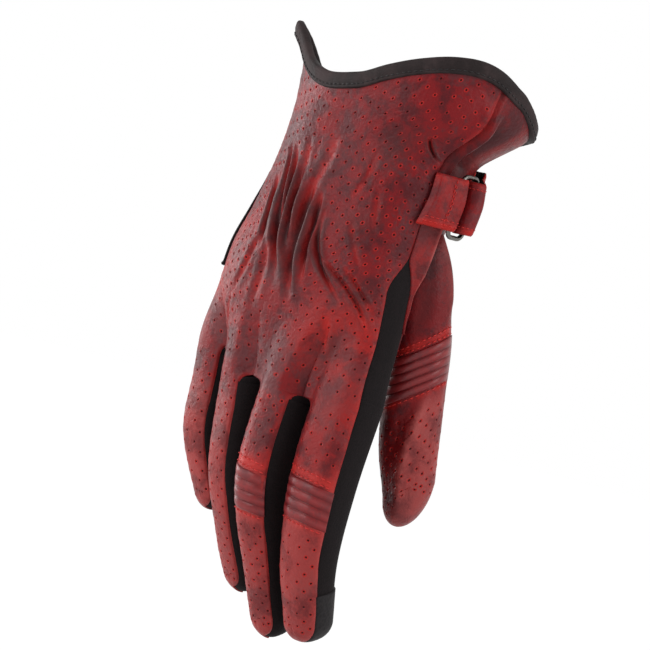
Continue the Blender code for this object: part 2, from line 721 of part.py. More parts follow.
def build():
    comb("back_panel", 1, "perforated_leather")
    palm = comb("palm_panel", -1, "smooth_leather")
    strip = side_strip()
    ulnar_strip()
    for outer, inner in zip(FINGERS, FINGERS[1:]):
        fourchette(outer, inner)
    cuff_binding()
    gather_elastic()
    for name in FINGERS:
        finger_end(name)
    gusset, thumb_core = thumb()
    core = hand_core()
    cut(gusset, core)
    cut(palm, thumb_core)
    cut(strip, thumb_core)
    strap()
    for name in DIGITS:
        digit_hinge(name)


for leftover in list(bpy.data.objects):
    bpy.data.objects.remove(leftover)
glove = bpy.data.collections.new("riding_glove")
cutters = bpy.data.collections.new("cutters")
for group in (glove, cutters):
    bpy.context.scene.collection.children.link(group)
build()
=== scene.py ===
import bmesh
import bpy
import numpy as np
from mathutils import Matrix


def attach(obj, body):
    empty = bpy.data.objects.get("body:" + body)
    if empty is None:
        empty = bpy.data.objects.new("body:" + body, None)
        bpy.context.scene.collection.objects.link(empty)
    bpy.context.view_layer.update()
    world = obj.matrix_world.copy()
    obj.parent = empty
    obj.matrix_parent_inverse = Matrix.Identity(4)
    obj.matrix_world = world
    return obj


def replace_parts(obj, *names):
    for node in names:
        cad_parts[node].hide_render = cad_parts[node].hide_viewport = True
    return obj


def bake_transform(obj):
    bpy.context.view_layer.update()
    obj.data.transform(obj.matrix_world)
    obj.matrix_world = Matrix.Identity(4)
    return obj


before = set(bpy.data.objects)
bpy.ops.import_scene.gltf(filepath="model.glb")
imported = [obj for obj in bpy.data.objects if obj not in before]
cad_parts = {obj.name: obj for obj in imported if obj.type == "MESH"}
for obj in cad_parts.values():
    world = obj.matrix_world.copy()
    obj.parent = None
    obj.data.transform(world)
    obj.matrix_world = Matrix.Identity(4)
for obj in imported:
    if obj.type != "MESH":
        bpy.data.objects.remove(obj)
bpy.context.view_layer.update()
mm = 0.001  # lengths below are in millimetres, meshes in metres
print("frame loaded,", len(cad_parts), "nodes")

# Shape of the glove, the same driving sizes as the solids

handShape = {
    "stations": (  # down from the cuff, centre x, centre y, half width, half depth
        (-14, -4.0, 6.0, 62.0, 44.5), (0, 1.0, 6.2, 53.3, 43.2), (18, 1.7, 3.3, 49.9, 38.8),
        (32, -2.0, -5.0, 43.5, 30.0), (50, -3.1, -8.0, 43.1, 28.0), (68, -5.8, -11.5, 42.8, 27.5),
        (85, -8.5, -15.0, 44.5, 25.5), (100, -8.8, -16.5, 46.3, 23.0), (115, -8.6, -17.5, 47.6, 21.0),
        (130, -9.2, -18.5, 47.2, 18.5), (145, -9.0, -19.0, 46.0, 16.5),
    ),
    "power": 2.4,
    "crotch": 138.0,
    "settleFrom": 100.0,  # from here down the hand takes the shape of the finger roots
    "wall": 1.2,
}
mouthLine = (  # angle round the cuff in degrees, down
    (-180, 14), (-168, 16), (-150, 18), (-120, 20), (-90, 21), (-72, 19.5), (-58, 16), (-46, 14.2), (-35, 13.8),
    (-20, 11.2), (-9, 6.8), (3, 0.8), (14, -3.0), (25, -4.9), (42, -4.2), (60, -0.4), (77, 5), (92, 11),
    (104, 12.3), (118, 9.7), (134, 2.4), (145, -6.2), (153, -3.6), (162, 3.6), (171, 10), (180, 14),
)
seams = {
    "thumbSide": ((-14, 6), (14, 13), (32, 13), (50, 11), (73, 3), (150, 3)),  # down, angle in degrees
    "stripTop": 74.0, "stripFull": 92.0, "stripBack": 13.0, "stripPalm": 13.0, "stripLow": 23.0,
    "ulnar": (50.0, 62.0, 87.0, 97.0),  # black lens on the little-finger side: down to its start, full width and end
    "ulnarBack": 27.0, "ulnarPalm": 5.0, "piping": 151.0,
    "cuffGap": 0.6,  # the panels' edges end this far under the binding
    "slots": (140.0, 136.5, 128.0),  # down to the tops of the slots between the fingers
    "slotRound": 5.0, "slotLevel": 14.0,  # distances over which the slots' drawn-in edges open and level out
    "slotDraw": 0.3,  # share of a finger's width that is drawn to its neighbour
}
digitShapes = {  # spine: x, y, z, half width, half depth; back and palm: angles from the near and far side to the edges
    "index": {
        "spine": ((27.4, -20.4, -138, 13.4, 13.6), (27.1, -23.2, -172, 13.0, 12.8),
                  (26.1, -19.0, -205, 11.1, 10.8), (25.2, -10.5, -227, 9.5, 9.4)),
        "end": 9.6, "knuckle": 0.36, "ribs": (0.375, 0.545), "back": (22, 10), "palm": (64, 33), "turn": 0,
    },
    "middle": {
        "spine": ((2.0, -27.2, -138, 11.3, 13.2), (2.0, -29.5, -176, 11.0, 12.4),
                  (2.6, -17.4, -207, 9.8, 10.6), (3.4, -7.5, -228.5, 8.6, 9.2)),
        "end": 11.0, "knuckle": 0.355, "ribs": (0.362, 0.513), "back": (45, 20), "palm": (33, 33), "turn": 0,
    },
    "ring": {
        "spine": ((-21.6, -26.6, -138, 11.0, 12.6), (-20.5, -23.6, -174, 10.5, 11.8),
                  (-19.2, -13.3, -200, 9.6, 10.2), (-17.4, -6.7, -214, 8.8, 9.2)),
        "end": 10.5, "knuckle": 0.42, "ribs": None, "back": (60, 20), "palm": (33, 33), "turn": -12,
    },
    "little": {
        "spine": ((-44.4, -20.8, -138, 10.2, 11.4), (-43.8, -19.5, -163, 9.8, 10.8),
                  (-41.8, -15.5, -177, 8.9, 9.8), (-40.0, -12.5, -185, 8.2, 9.0)),
        "end": 10.0, "knuckle": 0.47, "ribs": None, "back": (48, 0), "palm": (33, 0), "turn": -8,
    },
    "thumb": {
        "spine": ((20.0, -6.0, -54, 6.0, 5.5), (24.0, -1.5, -65, 10.5, 9.5), (26.7, 2.7, -77, 12.9, 12.0),
                  (30.5, 9.0, -104, 13.7, 12.4), (31.4, 12.8, -130, 14.6, 12.2),
                  (32.8, 16.0, -148, 14.2, 11.8), (34.4, 19.4, -165, 12.3, 10.6)),
        "end": 16.4, "knuckle": 0.47, "ribs": (0.51, 0.67), "back": (0, 0), "palm": (0, 0), "turn": 42,
    },
}
fingers = ("index", "middle", "ring", "little")
solidNames = {"ring": "ring_finger"}
digitPower = {"finger": 2.6, "thumb": 2.2, "thumbSlant": 28.0}
tipStretch = 1.3  # length of leather over a fingertip against the tip's own reach


def through(stations, where):
    # Hermite curve through the rows, with the first column as the key and slopes by central differences
    stations = np.asarray(stations, float)
    keys, values = stations[:, 0], stations[:, 1:]
    slopes = np.gradient(values, keys, axis=0)
    where = np.clip(np.asarray(where, float), keys[0], keys[-1])
    i = np.clip(np.searchsorted(keys, where) - 1, 0, len(keys) - 2)
    step = (keys[i + 1] - keys[i])[..., None]
    t = (where - keys[i])[..., None] / step
    return (
        values[i] * (1 + 2 * t) * (1 - t) ** 2
        + values[i + 1] * t**2 * (3 - 2 * t)
        + step * t * (1 - t) * (slopes[i] * (1 - t) - slopes[i + 1] * t)
    )


def ramp(value, start, end):
    # smooth step from 0 at start to 1 at end
    t = np.clip((np.asarray(value, float) - start) / (end - start), 0, 1)
    return t * t * (3 - 2 * t)


def bump(value, start, full, fade, end):
    # 0 before start, 1 from full to fade, 0 after end
    return ramp(value, start, full) * (1 - ramp(value, fade, end))


def reach(value, limits):
    # a ramp between two limits, or a bump between four
    return (ramp if len(limits) == 2 else bump)(value, *limits)


def hump(value, centre, half):
    # bell that is 1 at the centre
    return np.exp(-(((value - centre) / half) ** 2))


def signedPower(value, power):
    # power of the size, with the sign kept
    return np.sign(value) * np.abs(value) ** power


def unit(vectors):
    # vectors scaled to length 1
    return vectors / np.maximum(np.linalg.norm(vectors, axis=-1, keepdims=True), 1e-9)


def handPoint(down, angle, grow=0.0):
    # superellipse section of the hand at a level; angle 0 is the thumb side, 90 degrees the back
    down, angle, grow = np.broadcast_arrays(*(np.asarray(v, float) for v in (down, angle, grow)))
    cx, cy, width, depth = np.moveaxis(through(handShape["stations"], down), -1, 0)
    x = cx + (width + grow) * signedPower(np.cos(angle), 2 / handShape["power"])
    y = cy - (depth + grow) * signedPower(np.sin(angle), 2 / handShape["power"])
    return np.stack([x, y, -down], axis=-1)


def mouthDown(angle):
    # level of the cuff's edge at an angle round it, on a curve through the listed points
    return through(mouthLine, np.degrees(angle))[..., 0]


for digitName, shape in digitShapes.items():
    spine = np.array(shape["spine"], float)
    run = np.r_[0, np.cumsum(np.linalg.norm(np.diff(spine[:, :3], axis=0), axis=1))]
    shape["length"] = run[-1]
    shape["stations"] = np.c_[run / run[-1], spine]
    shape["power"] = digitPower["thumb" if digitName == "thumb" else "finger"]
    shape["slant"] = np.radians(digitPower["thumbSlant"]) if digitName == "thumb" else 0.0


def digitFrame(name, place):
    # centre, direction to the tip, sideways, out of the back, half width and half depth along a digit
    shape = digitShapes[name]
    place = np.asarray(place, float)
    at = through(shape["stations"], place)
    step = 0.01
    inside = np.clip(place, 0, 1)
    tip = unit(through(shape["stations"], inside + step)[..., :3] - through(shape["stations"], inside - step)[..., :3])
    turn = np.radians(shape["turn"])
    across = np.array([np.cos(turn), np.sin(turn), 0.0])
    across = unit(across - tip * (tip @ across)[..., None])
    back = unit(np.cross(tip, across))
    across = across * np.cos(shape["slant"]) - tip * np.sin(shape["slant"])
    centre = at[..., :3] + tip * (np.minimum(place, 0) * shape["length"])[..., None]
    return centre, tip, across, back, at[..., 3:4], at[..., 4:5]


def digitPoint(name, place, angle, fan=0.0, grow=0.0):
    # superellipse section across the spine; fan swings a flank round to the tip
    place, angle, fan, grow = np.broadcast_arrays(*(np.asarray(v, float) for v in (place, angle, fan, grow)))
    shape = digitShapes[name]
    centre, tip, across, back, width, depth = digitFrame(name, place)
    side = signedPower(np.cos(angle), 2 / shape["power"])[..., None]
    rise = signedPower(np.sin(angle), 2 / shape["power"])[..., None]
    fan, grow = fan[..., None], grow[..., None]
    return (
        centre
        + side * (width + grow) * np.cos(fan) * across
        + np.abs(side) * (shape["end"] + grow) * np.sin(fan) * tip
        + rise * (depth + grow) * back
    )


# Meshes


def gridFaces(rows, cols, wrap=False):
    # quads of a grid whose points run row by row
    r = np.arange(rows - 1)[:, None]
    c = np.arange(cols if wrap else cols - 1)[None, :]
    after = (c + 1) % cols
    return np.stack([r * cols + c, r * cols + after, (r + 1) * cols + after, (r + 1) * cols + c], -1).reshape(-1, 4)


def unitGrid(rows, cols):
    # two parameters from 0 to 1, down the rows and across the columns
    return np.meshgrid(np.linspace(0, 1, rows), np.linspace(0, 1, cols), indexing="ij")


def gridNormals(grid):
    # cross product of the two grid directions
    return unit(np.cross(np.gradient(grid, axis=1), np.gradient(grid, axis=0)))


def outward(grid):
    # normals of a grid, turned away from the middle of its rows
    normal = gridNormals(grid)
    return normal * np.sign(np.sum(normal * (grid - grid.mean(axis=1, keepdims=True))))


def addMesh(name, points, faces, materials, faceMaterial=None, attributes=None, loopNormals=None):
    # smooth-shaded piece from points in millimetres and faces, with values at its points where given
    mesh = bpy.data.meshes.new(name)
    mesh.vertices.add(len(points))
    mesh.vertices.foreach_set("co", (points * mm).astype(np.float32).ravel())
    mesh.loops.add(faces.size)
    mesh.loops.foreach_set("vertex_index", faces.astype(np.int32).ravel())
    mesh.polygons.add(len(faces))
    mesh.polygons.foreach_set("loop_start", np.arange(0, faces.size, faces.shape[1], dtype=np.int32))
    for material in materials:
        mesh.materials.append(material)
    if faceMaterial is not None:
        mesh.polygons.foreach_set("material_index", faceMaterial.astype(np.int32))
    for key, values in (attributes or {}).items():
        mesh.attributes.new(key, "FLOAT", "POINT").data.foreach_set("value", values.astype(np.float32).ravel())
    mesh.update(calc_edges=True)
    mesh.shade_smooth()
    if loopNormals is not None:
        mesh.normals_split_custom_set(loopNormals)
    piece = bpy.data.objects.new(name, mesh)
    bpy.context.scene.collection.objects.link(piece)
    return piece


def shell(name, outer, inner, materials, attributes=None, normals=None, wrap=False):
    # closed panel: outer grid, inner grid turned over and a rim round the edge; the inside takes the second material
    rows, cols = outer.shape[:2]
    count = rows * cols
    index = np.arange(count).reshape(rows, cols)
    quads = gridFaces(rows, cols, wrap)
    if wrap:
        edges = [(index[0], np.roll(index[0], -1)), (np.roll(index[-1], -1), index[-1])]
    else:
        loop = np.concatenate([index[0, :-1], index[:-1, -1], index[-1, :0:-1], index[:0:-1, 0]])
        edges = [(loop, np.roll(loop, -1))]
    rims = [np.stack([after, here, here + count, after + count], -1) for here, after in edges]
    faces = np.concatenate([quads, quads[:, ::-1] + count] + rims)
    corner = outer.reshape(-1, 3)[quads]
    facing = np.cross(corner[:, 2] - corner[:, 0], corner[:, 3] - corner[:, 1])
    if np.sum(facing * (outer - inner).reshape(-1, 3)[quads[:, 0]]) < 0:
        faces = faces[:, ::-1]
    faceMaterial = np.zeros(len(faces))
    if len(materials) > 1:
        faceMaterial[len(quads) : 2 * len(quads)] = 1
    doubled = {key: np.concatenate([values.ravel(), values.ravel()]) for key, values in (attributes or {}).items()}
    loopNormals = None
    if normals is not None:
        loopNormals = np.zeros((faces.size, 3))
        loopNormals[: quads.size] = normals.reshape(-1, 3)[faces[: len(quads)].ravel()]
    points = np.concatenate([outer.reshape(-1, 3), inner.reshape(-1, 3)])
    return addMesh(name, points, faces, materials, faceMaterial, doubled, loopNormals)


def sweep(name, rings, materials, closed=False):
    # tube from rings of points, its ends drawn together when it isn't closed
    count, sides = rings.shape[:2]
    if not closed:
        ends = rings.mean(axis=1, keepdims=True)
        rings = np.concatenate([np.repeat(ends[:1], sides, 1), rings, np.repeat(ends[-1:], sides, 1)])
        faces = gridFaces(count + 2, sides, True)
    else:
        faces = gridFaces(count + 1, sides, True) % (count * sides)
    return mergePoints(addMesh(name, rings.reshape(-1, 3), faces, materials))


def mergePoints(piece):
    # joins points that fall together and turns the faces outward
    work = bmesh.new()
    work.from_mesh(piece.data)
    bmesh.ops.remove_doubles(work, verts=work.verts, dist=1e-6)
    bmesh.ops.dissolve_degenerate(work, edges=work.edges, dist=1e-7)
    bmesh.ops.recalc_face_normals(work, faces=work.faces)
    work.to_mesh(piece.data)
    work.free()
    return piece


def alongPath(path, spacing):
    # points, directions and arc length at even steps along a polyline
    path = np.asarray(path, float)
    run = np.r_[0, np.cumsum(np.linalg.norm(np.diff(path, axis=0), axis=1))]
    count = max(2, int(round(run[-1] / spacing)) + 1)
    at = np.linspace(0, run[-1], count)
    points = np.stack([np.interp(at, run, path[:, k]) for k in range(3)], -1)
    return points, unit(np.gradient(points, axis=0)), at


stitch = {"length": 2.3, "gap": 0.9, "radius": 0.27, "rise": 0.2, "dip": 1.8, "rings": 7, "sides": 6}


def stitchRow(name, paths, outs, material, scale=1.0):
    # capsules along paths: a stitch is a short arch, thin at its ends, that dips into the leather there
    x = np.linspace(-1, 1, stitch["rings"])[None, :, None]
    around = np.linspace(0, 2 * np.pi, stitch["sides"], endpoint=False)[None, None, :]
    blocks = []
    for path, out in zip(paths, outs):
        step = (stitch["length"] + stitch["gap"]) * scale
        centres, tangents, at = alongPath(path, step)
        run = np.r_[0, np.cumsum(np.linalg.norm(np.diff(path, axis=0), axis=1))]
        normals = unit(np.stack([np.interp(at, run, out[:, k]) for k in range(3)], -1))
        tangents = unit(tangents - normals * np.sum(tangents * normals, -1, keepdims=True))
        sideways = np.cross(tangents, normals)
        radius = stitch["radius"] * scale * np.sqrt(np.clip(1 - x**4, 0, 1))
        height = stitch["rise"] * (1 - stitch["dip"] * x**2)
        wide = (stitch["length"] * scale / 2 * x)[..., None]
        blocks.append(
            centres[:, None, None]
            + tangents[:, None, None] * wide
            + normals[:, None, None] * (height + radius * np.cos(around))[..., None]
            + sideways[:, None, None] * (radius * np.sin(around))[..., None]
        )
    rings = np.concatenate(blocks)
    each = stitch["rings"] * stitch["sides"]
    starts = np.arange(len(rings))[:, None, None] * each
    faces = (gridFaces(stitch["rings"], stitch["sides"], True)[None] + starts).reshape(-1, 4)
    return mergePoints(addMesh(name, rings.reshape(-1, 3), faces, [material]))


# Materials


def linear(red, green, blue):
    # display colour of 0 to 255 as a linear value
    value = np.array([red, green, blue]) / 255
    return (*np.where(value <= 0.04045, value / 12.92, ((value + 0.055) / 1.055) ** 2.4), 1.0)


class Finish:
    # a Principled material and short ways to add nodes to it
    def __init__(self, name, roughness=0.5, metallic=0.0, **sockets):
        self.material = bpy.data.materials.new(name)
        self.material.use_nodes = True
        self.tree = self.material.node_tree
        self.shader = self.tree.nodes["Principled BSDF"]
        self.shader.inputs["Roughness"].default_value = roughness
        self.shader.inputs["Metallic"].default_value = metallic
        for key, value in sockets.items():
            self.shader.inputs[key.replace("_", " ")].default_value = value
        self.object = self.add("ShaderNodeTexCoord").outputs["Object"]

    def add(self, kind, **settings):
        # a node with the given settings
        node = self.tree.nodes.new(kind)
        for key, value in settings.items():
            setattr(node, key, value)
        return node

    def feed(self, socket, value):
        # links a socket, or sets its value
        if isinstance(value, bpy.types.NodeSocket):
            self.tree.links.new(value, socket)
        else:
            socket.default_value = value

    def noise(self, scale, detail=3.0, rough=0.5, vector=None, warp=0.0):
        # value of a noise texture
        node = self.add("ShaderNodeTexNoise")
        self.feed(node.inputs["Vector"], vector or self.object)
        node.inputs["Scale"].default_value = scale
        node.inputs["Detail"].default_value = detail
        node.inputs["Roughness"].default_value = rough
        node.inputs["Distortion"].default_value = warp
        return node.outputs["Fac"]

    def cells(self, scale, feature="F1"):
        # distance in a cell texture
        node = self.add("ShaderNodeTexVoronoi", feature=feature)
        self.feed(node.inputs["Vector"], self.object)
        node.inputs["Scale"].default_value = scale
        return node.outputs["Distance"]

    def attribute(self, name):
        # value stored at the mesh's points
        return self.add("ShaderNodeAttribute", attribute_name=name).outputs["Fac"]

    def step(self, value, start, end, low=0.0, high=1.0):
        # smooth step of a value, from low at start to high at end
        node = self.add("ShaderNodeMapRange", interpolation_type="SMOOTHSTEP")
        for socket, given in zip(node.inputs[:5], (value, start, end, low, high)):
            self.feed(socket, given)
        return node.outputs["Result"]

    def math(self, operation, first, second=0.0):
        # one operation on two values
        node = self.add("ShaderNodeMath", operation=operation)
        self.feed(node.inputs[0], first)
        self.feed(node.inputs[1], second)
        return node.outputs["Value"]

    def mix(self, factor, first, second):
        # blend of two colours
        node = self.add("ShaderNodeMix", data_type="RGBA")
        for socket, given in zip((node.inputs["Factor"], node.inputs[6], node.inputs[7]), (factor, first, second)):
            self.feed(socket, given)
        return node.outputs[2]

    def bump(self, height, distance, strength=1.0, normal=None):
        # normal tilted by a height
        node = self.add("ShaderNodeBump")
        node.inputs["Strength"].default_value = strength
        node.inputs["Distance"].default_value = distance
        self.feed(node.inputs["Height"], height)
        if normal:
            self.feed(node.inputs["Normal"], normal)
        return node.outputs["Normal"]

    def set(self, **sockets):
        # fills the shader's sockets and gives the material
        for key, value in sockets.items():
            self.feed(self.shader.inputs[key.replace("_", " ")], value)
        return self.material


leatherTones = {
    "red": linear(125, 20, 25),
    "maroon": linear(84, 19, 25),
    "grey": linear(91, 41, 45),
    "bright": linear(186, 34, 28),
    "hole": linear(66, 10, 15),
    # painted shade in grooves and hollows
    "fold": linear(44, 11, 14),
    "smoke": linear(68, 42, 43),
    # painted highlight on the ribs' crests, and painted shade in their grooves
    "ribHighlight": linear(132, 63, 66),
    "ribShade": linear(92, 3, 12),
    # painted sheen and highlights, pale pink
    "paintedSheen": linear(172, 80, 77),
}


def antiqueLeather(
    name, patch=34.0, crinkle=0.5, gloss=0.18, rough=(0.34, 0.54), grain=0.5, crest="smoke", fold="fold"
):
    # red rubbed with maroon and grey in broad patches and fine specks, bright where worn and round the holes, pale pink
    # as painted sheen and highlights, grey on the crests of folds or as a painted highlight on the crests of ribs, and
    # nearly black as painted shade in their grooves; creased in small cells with a fine grain
    finish = Finish(name, Specular_IOR_Level=gloss, Sheen_Weight=0.04, Sheen_Roughness=0.4)
    broad = finish.noise(patch, 4, 0.6, warp=0.5)
    blotch = finish.noise(patch * 2.6, 6, 0.68, warp=0.3)
    fine = finish.noise(520, 5, 0.65)
    cells = finish.cells(430, "DISTANCE_TO_EDGE")
    colour = finish.mix(finish.step(blotch, 0.39, 0.57), leatherTones["maroon"], leatherTones["red"])
    rubbed = finish.math("ADD", broad, finish.math("MULTIPLY", finish.math("SUBTRACT", fine, 0.5), 0.5))
    colour = finish.mix(finish.step(rubbed, 0.49, 0.63, 0, 0.88), colour, leatherTones["grey"])
    colour = finish.mix(finish.step(fine, 0.56, 0.75, 0, 0.6), colour, leatherTones["maroon"])
    worn = finish.math("MULTIPLY", finish.attribute("wear"), finish.step(blotch, 0.34, 0.58, 0.25, 1.0))
    colour = finish.mix(worn, colour, leatherTones["bright"])
    # the fade value paints sheen and highlights in that pale pink
    paintedSheen = finish.math("MULTIPLY", finish.attribute("fade"), finish.step(blotch, 0.34, 0.58, 0.45, 1.15))
    colour = finish.mix(paintedSheen, colour, leatherTones["paintedSheen"])
    # the crest value is grey on the crests of folds and a painted highlight on the crests of ribs
    colour = finish.mix(finish.math("MULTIPLY", finish.attribute("crest"), 0.8), colour, leatherTones[crest])
    # the groove value paints shade into grooves and hollows
    colour = finish.mix(finish.math("MULTIPLY", finish.attribute("groove"), 0.9), colour, leatherTones[fold])
    pit = finish.attribute("pit")
    rim = finish.math("MULTIPLY", finish.step(pit, 1.1, 0.8), finish.step(blotch, 0.36, 0.62, 0.1, 0.8))
    colour = finish.mix(rim, colour, leatherTones["bright"])
    colour = finish.mix(finish.step(pit, 0.55, 0.38), colour, leatherTones["hole"])
    normal = finish.bump(finish.step(cells, 0.0, 0.25), 0.0003, 0.35 * crinkle)
    normal = finish.bump(blotch, 0.0016, 0.5 * crinkle, normal)
    normal = finish.bump(fine, 0.0004, grain, normal)
    return finish.set(Base_Color=colour, Roughness=finish.step(fine, 0.25, 0.75, *rough), Normal=normal)


def lighter(tone, times):
    # a tone times a number, held at white
    return tuple(min(1.0, times * value) for value in tone[:3]) + (1.0,)


def knitFabric(name, tone, weaveScale=1300.0, roughness=0.85):
    # matt cloth: fine loops in rows, with slight lint
    finish = Finish(name, Specular_IOR_Level=0.12, Sheen_Weight=0.03, Sheen_Roughness=0.6)
    loops = finish.cells(weaveScale)
    lint = finish.noise(260, 4, 0.6)
    height = finish.math("ADD", loops, lint)
    colour = finish.mix(finish.step(height, 0.5, 1.3), tone, lighter(tone, 1.9))
    normal = finish.bump(height, 0.00018, 0.5)
    return finish.set(Base_Color=colour, Roughness=roughness, Normal=normal)


def bindingTape(name):
    # charcoal tape: close cross weave, lighter in broad patches
    finish = Finish(name, Specular_IOR_Level=0.15)
    weave = finish.cells(1500)
    rub = finish.noise(90, 4, 0.6)
    colour = finish.mix(finish.step(rub, 0.4, 0.7), linear(36, 29, 29), linear(62, 51, 51))
    normal = finish.bump(weave, 0.0002, 0.45)
    return finish.set(Base_Color=colour, Roughness=finish.step(rub, 0.3, 0.7, 0.55, 0.75), Normal=normal)


def sewingThread(name, tone):
    # fine noise for the thread's twist, in colour and relief
    finish = Finish(name, Specular_IOR_Level=0.4)
    twist = finish.noise(2600, 2, 0.5)
    colour = finish.mix(twist, tone, lighter(tone, 1.6))
    return finish.set(Base_Color=colour, Roughness=0.55, Normal=finish.bump(twist, 0.0001, 0.5))


def nickelWire(name):
    # metal with scuffs: noise in its colour and roughness
    finish = Finish(name, metallic=1.0)
    scuff = finish.noise(700, 4, 0.6)
    colour = finish.mix(scuff, linear(84, 81, 78), linear(132, 128, 123))
    return finish.set(Base_Color=colour, Roughness=finish.step(scuff, 0.3, 0.7, 0.2, 0.38))


redLeather = antiqueLeather("antique_red_leather")
ribLeather = antiqueLeather("ribbed_red_leather", 60.0, 0.1, 0.3, (0.28, 0.42), 0.15, "ribHighlight", "ribShade")
blackKnit = knitFabric("black_stretch_knit", linear(15, 10, 11))
liningCloth = knitFabric("lining_cloth", linear(58, 22, 24), 900.0)
tipPatch = knitFabric("black_touch_patch", linear(25, 22, 23), 700.0, 0.6)
tape = bindingTape("charcoal_binding")
redThread = sewingThread("red_thread", linear(186, 40, 36))
darkThread = sewingThread("charcoal_thread", linear(26, 23, 24))
nickel = nickelWire("nickel_wire")
loopPile = knitFabric("hook_and_loop", linear(22, 21, 22), 500.0, 0.95)
strapBacking = knitFabric("strap_backing", linear(26, 20, 21), 800.0)
print("materials made")

# Leather panels of the hand and fingers

holes = {
    "columns": 14, "rows": 8, "far": 9.0, "lastFan": 0.7,
    "ringRadius": (0.0, 0.3, 0.5, 0.85), "ringHeight": (-0.5, -0.42, -0.04, 0.1),
}
panelGrid = {"backColumns": 56, "handRows": 41, "rowPitch": 3.3, "palmColumns": 44, "palmRows": 181, "fingerRows": 76}
backCreases = (  # down and angle at the top, angle midway, down and angle at the foot, half width, depth
    (42, 119, 107, 86, 95, 0.9, 2.4), (44, 112, 101, 94, 92, 1.0, 3.0), (50, 103, 95.5, 88, 89.5, 0.9, 2.6),
    (52, 92, 88.7, 102, 85, 1.0, 3.1), (58, 86.5, 81.5, 94, 79, 0.9, 2.6), (66, 79.5, 73, 98, 54, 1.0, 2.0),
    (56, 121, 112, 84, 106, 0.9, 2.0), (26, 37, 29, 35, 17, 0.8, 1.6), (36, 104, 102, 56, 100, 1.0, 0.7),
    (34, 89, 90, 56, 92, 1.0, 0.7), (78, 99, 100, 110, 103, 1.2, 0.8), (76, 107, 112, 104, 119, 1.2, 0.8),
    (66, 60, 52, 84, 42, 1.2, 0.5), (52, 52, 47, 70, 40, 1.2, 0.5), (104, 60, 55, 124, 52, 1.3, 0.5),
    (106, 122, 127, 124, 132, 1.2, 0.5), (38, 62, 64, 58, 68, 1.2, 0.5),
    (82, 74, 45, 108, 27, 1.2, 1.2), (85, 53, 39, 100, 27, 1.2, 1.0),
)
palmCreases = (
    (62, 0, -6, 90, -12, 1.2, 0.8),
    (24, -40, -34, 40, -30, 1.5, 1.2), (70, -60, -72, 96, -80, 1.5, 1.0), (84, -50, -78, 104, -100, 1.5, 0.9),
    (58, -110, -130, 64, -150, 1.4, 0.9),
)


def edgeAngles(down):
    # thumb-side edges of the back and of the palm: one seam above, parted by the black strip below
    share = ramp(down, seams["stripTop"], seams["stripFull"])
    seam = through(seams["thumbSide"], down)[..., 0]
    low = seams["stripLow"] * ramp(down, seams["stripFull"], handShape["crotch"])
    return np.radians(seam + seams["stripBack"] * share), np.radians(seam - seams["stripPalm"] * share - low)


def ulnarEdge(down, side):
    # angle from the little-finger side back to a panel's edge: nothing outside the lens-shaped strip
    widest = seams["ulnarBack"] if side > 0 else seams["ulnarPalm"]
    return np.radians(widest) * reach(down, seams["ulnar"])


def combAngle(down, u, side):
    # angle round the hand of a place u across the back (side 1) or palm (side -1)
    backEdge, palmEdge = edgeAngles(down)
    near = backEdge if side > 0 else palmEdge
    return near + u * (side * np.pi - near) - side * u**2 * ulnarEdge(down, side)


def slotLine(u):
    # down to the end of the hand panel: a smooth curve through the tops of the slots
    keys = (0.0, 0.25, 0.5, 0.75, 1.0)
    first, second, third = seams["slots"]
    return through(np.c_[keys, (first, first, second, third, third - 2)], u)[..., 0]


def fingerOf(u):
    # finger number and share across it of a place across the comb
    number = np.clip((u * 4).astype(int), 0, 3)
    return number, u * 4 - number


def fingerAngle(name, share, side):
    # angle on a digit of a share across its back (side 1) or palm (side -1)
    near, far = np.radians(digitShapes[name]["back" if side > 0 else "palm"])
    return side * (near + share * (np.pi - far - near))


def fingerStart(name, down):
    # place on a finger that lies at a level above or below its root
    return (down - handShape["crotch"]) / digitShapes[name]["length"]


def rootPoints(u, side, grow):
    # where the hand panel ends: the finger roots, with the edges of neighbours drawn together over the slot
    number, share = fingerOf(u)
    down = slotLine(u)
    points = np.zeros(u.shape + (3,))
    for k, name in enumerate(fingers):
        own = digitPoint(name, fingerStart(name, down), fingerAngle(name, share, side), grow=grow)
        points = np.where((number == k)[..., None], own, points)
        for end, other in ((0.0, k - 1), (1.0, k + 1)):
            if not 0 <= other < 4:
                continue
            pull = 1 - ramp(np.abs(share - end), 0, seams["slotDraw"])
            edge, across = (
                digitPoint(digit, fingerStart(digit, down), fingerAngle(digit, at, side), grow=grow)
                for digit, at in ((name, end), (fingers[other], 1 - end))
            )
            points = np.where((number == k)[..., None], points + pull[..., None] * (across - edge) / 2, points)
    points[..., 2] = -down
    return points


def handPanel(side):
    # surface of the hand panel over v from the cuff to the slots and u from the thumb side to the ulnar side
    def surface(v, u, grow=0.0):
        top = 0.0
        for _ in range(4):
            top = mouthDown(combAngle(top, u, side)) + seams["cuffGap"]
        down = top + v * (slotLine(u) - top)
        angle = combAngle(down, u, side)
        points = handPoint(down, angle, grow)
        share = ramp(down, handShape["settleFrom"], slotLine(u))[..., None]
        points[..., :2] += share * (rootPoints(u, side, grow)[..., :2] - points[..., :2])
        return points, down, angle, 1.0

    return surface


def digitRun(name, v, start):
    # distance down a digit from its start, the place on its spine, and the fan that closes the tip
    shape = digitShapes[name]
    tipRun, length = tipStretch * shape["end"], (1 - start) * shape["length"]
    run = v * (length + tipRun)
    place = start + np.minimum(run, length) / shape["length"]
    return run, place, np.clip((run - length) / tipRun, 0, 1) * np.pi / 2


def tipHold(fan):
    # folds and holes die out where the tip closes
    return 1 - ramp(fan, 1.2, np.pi / 2)


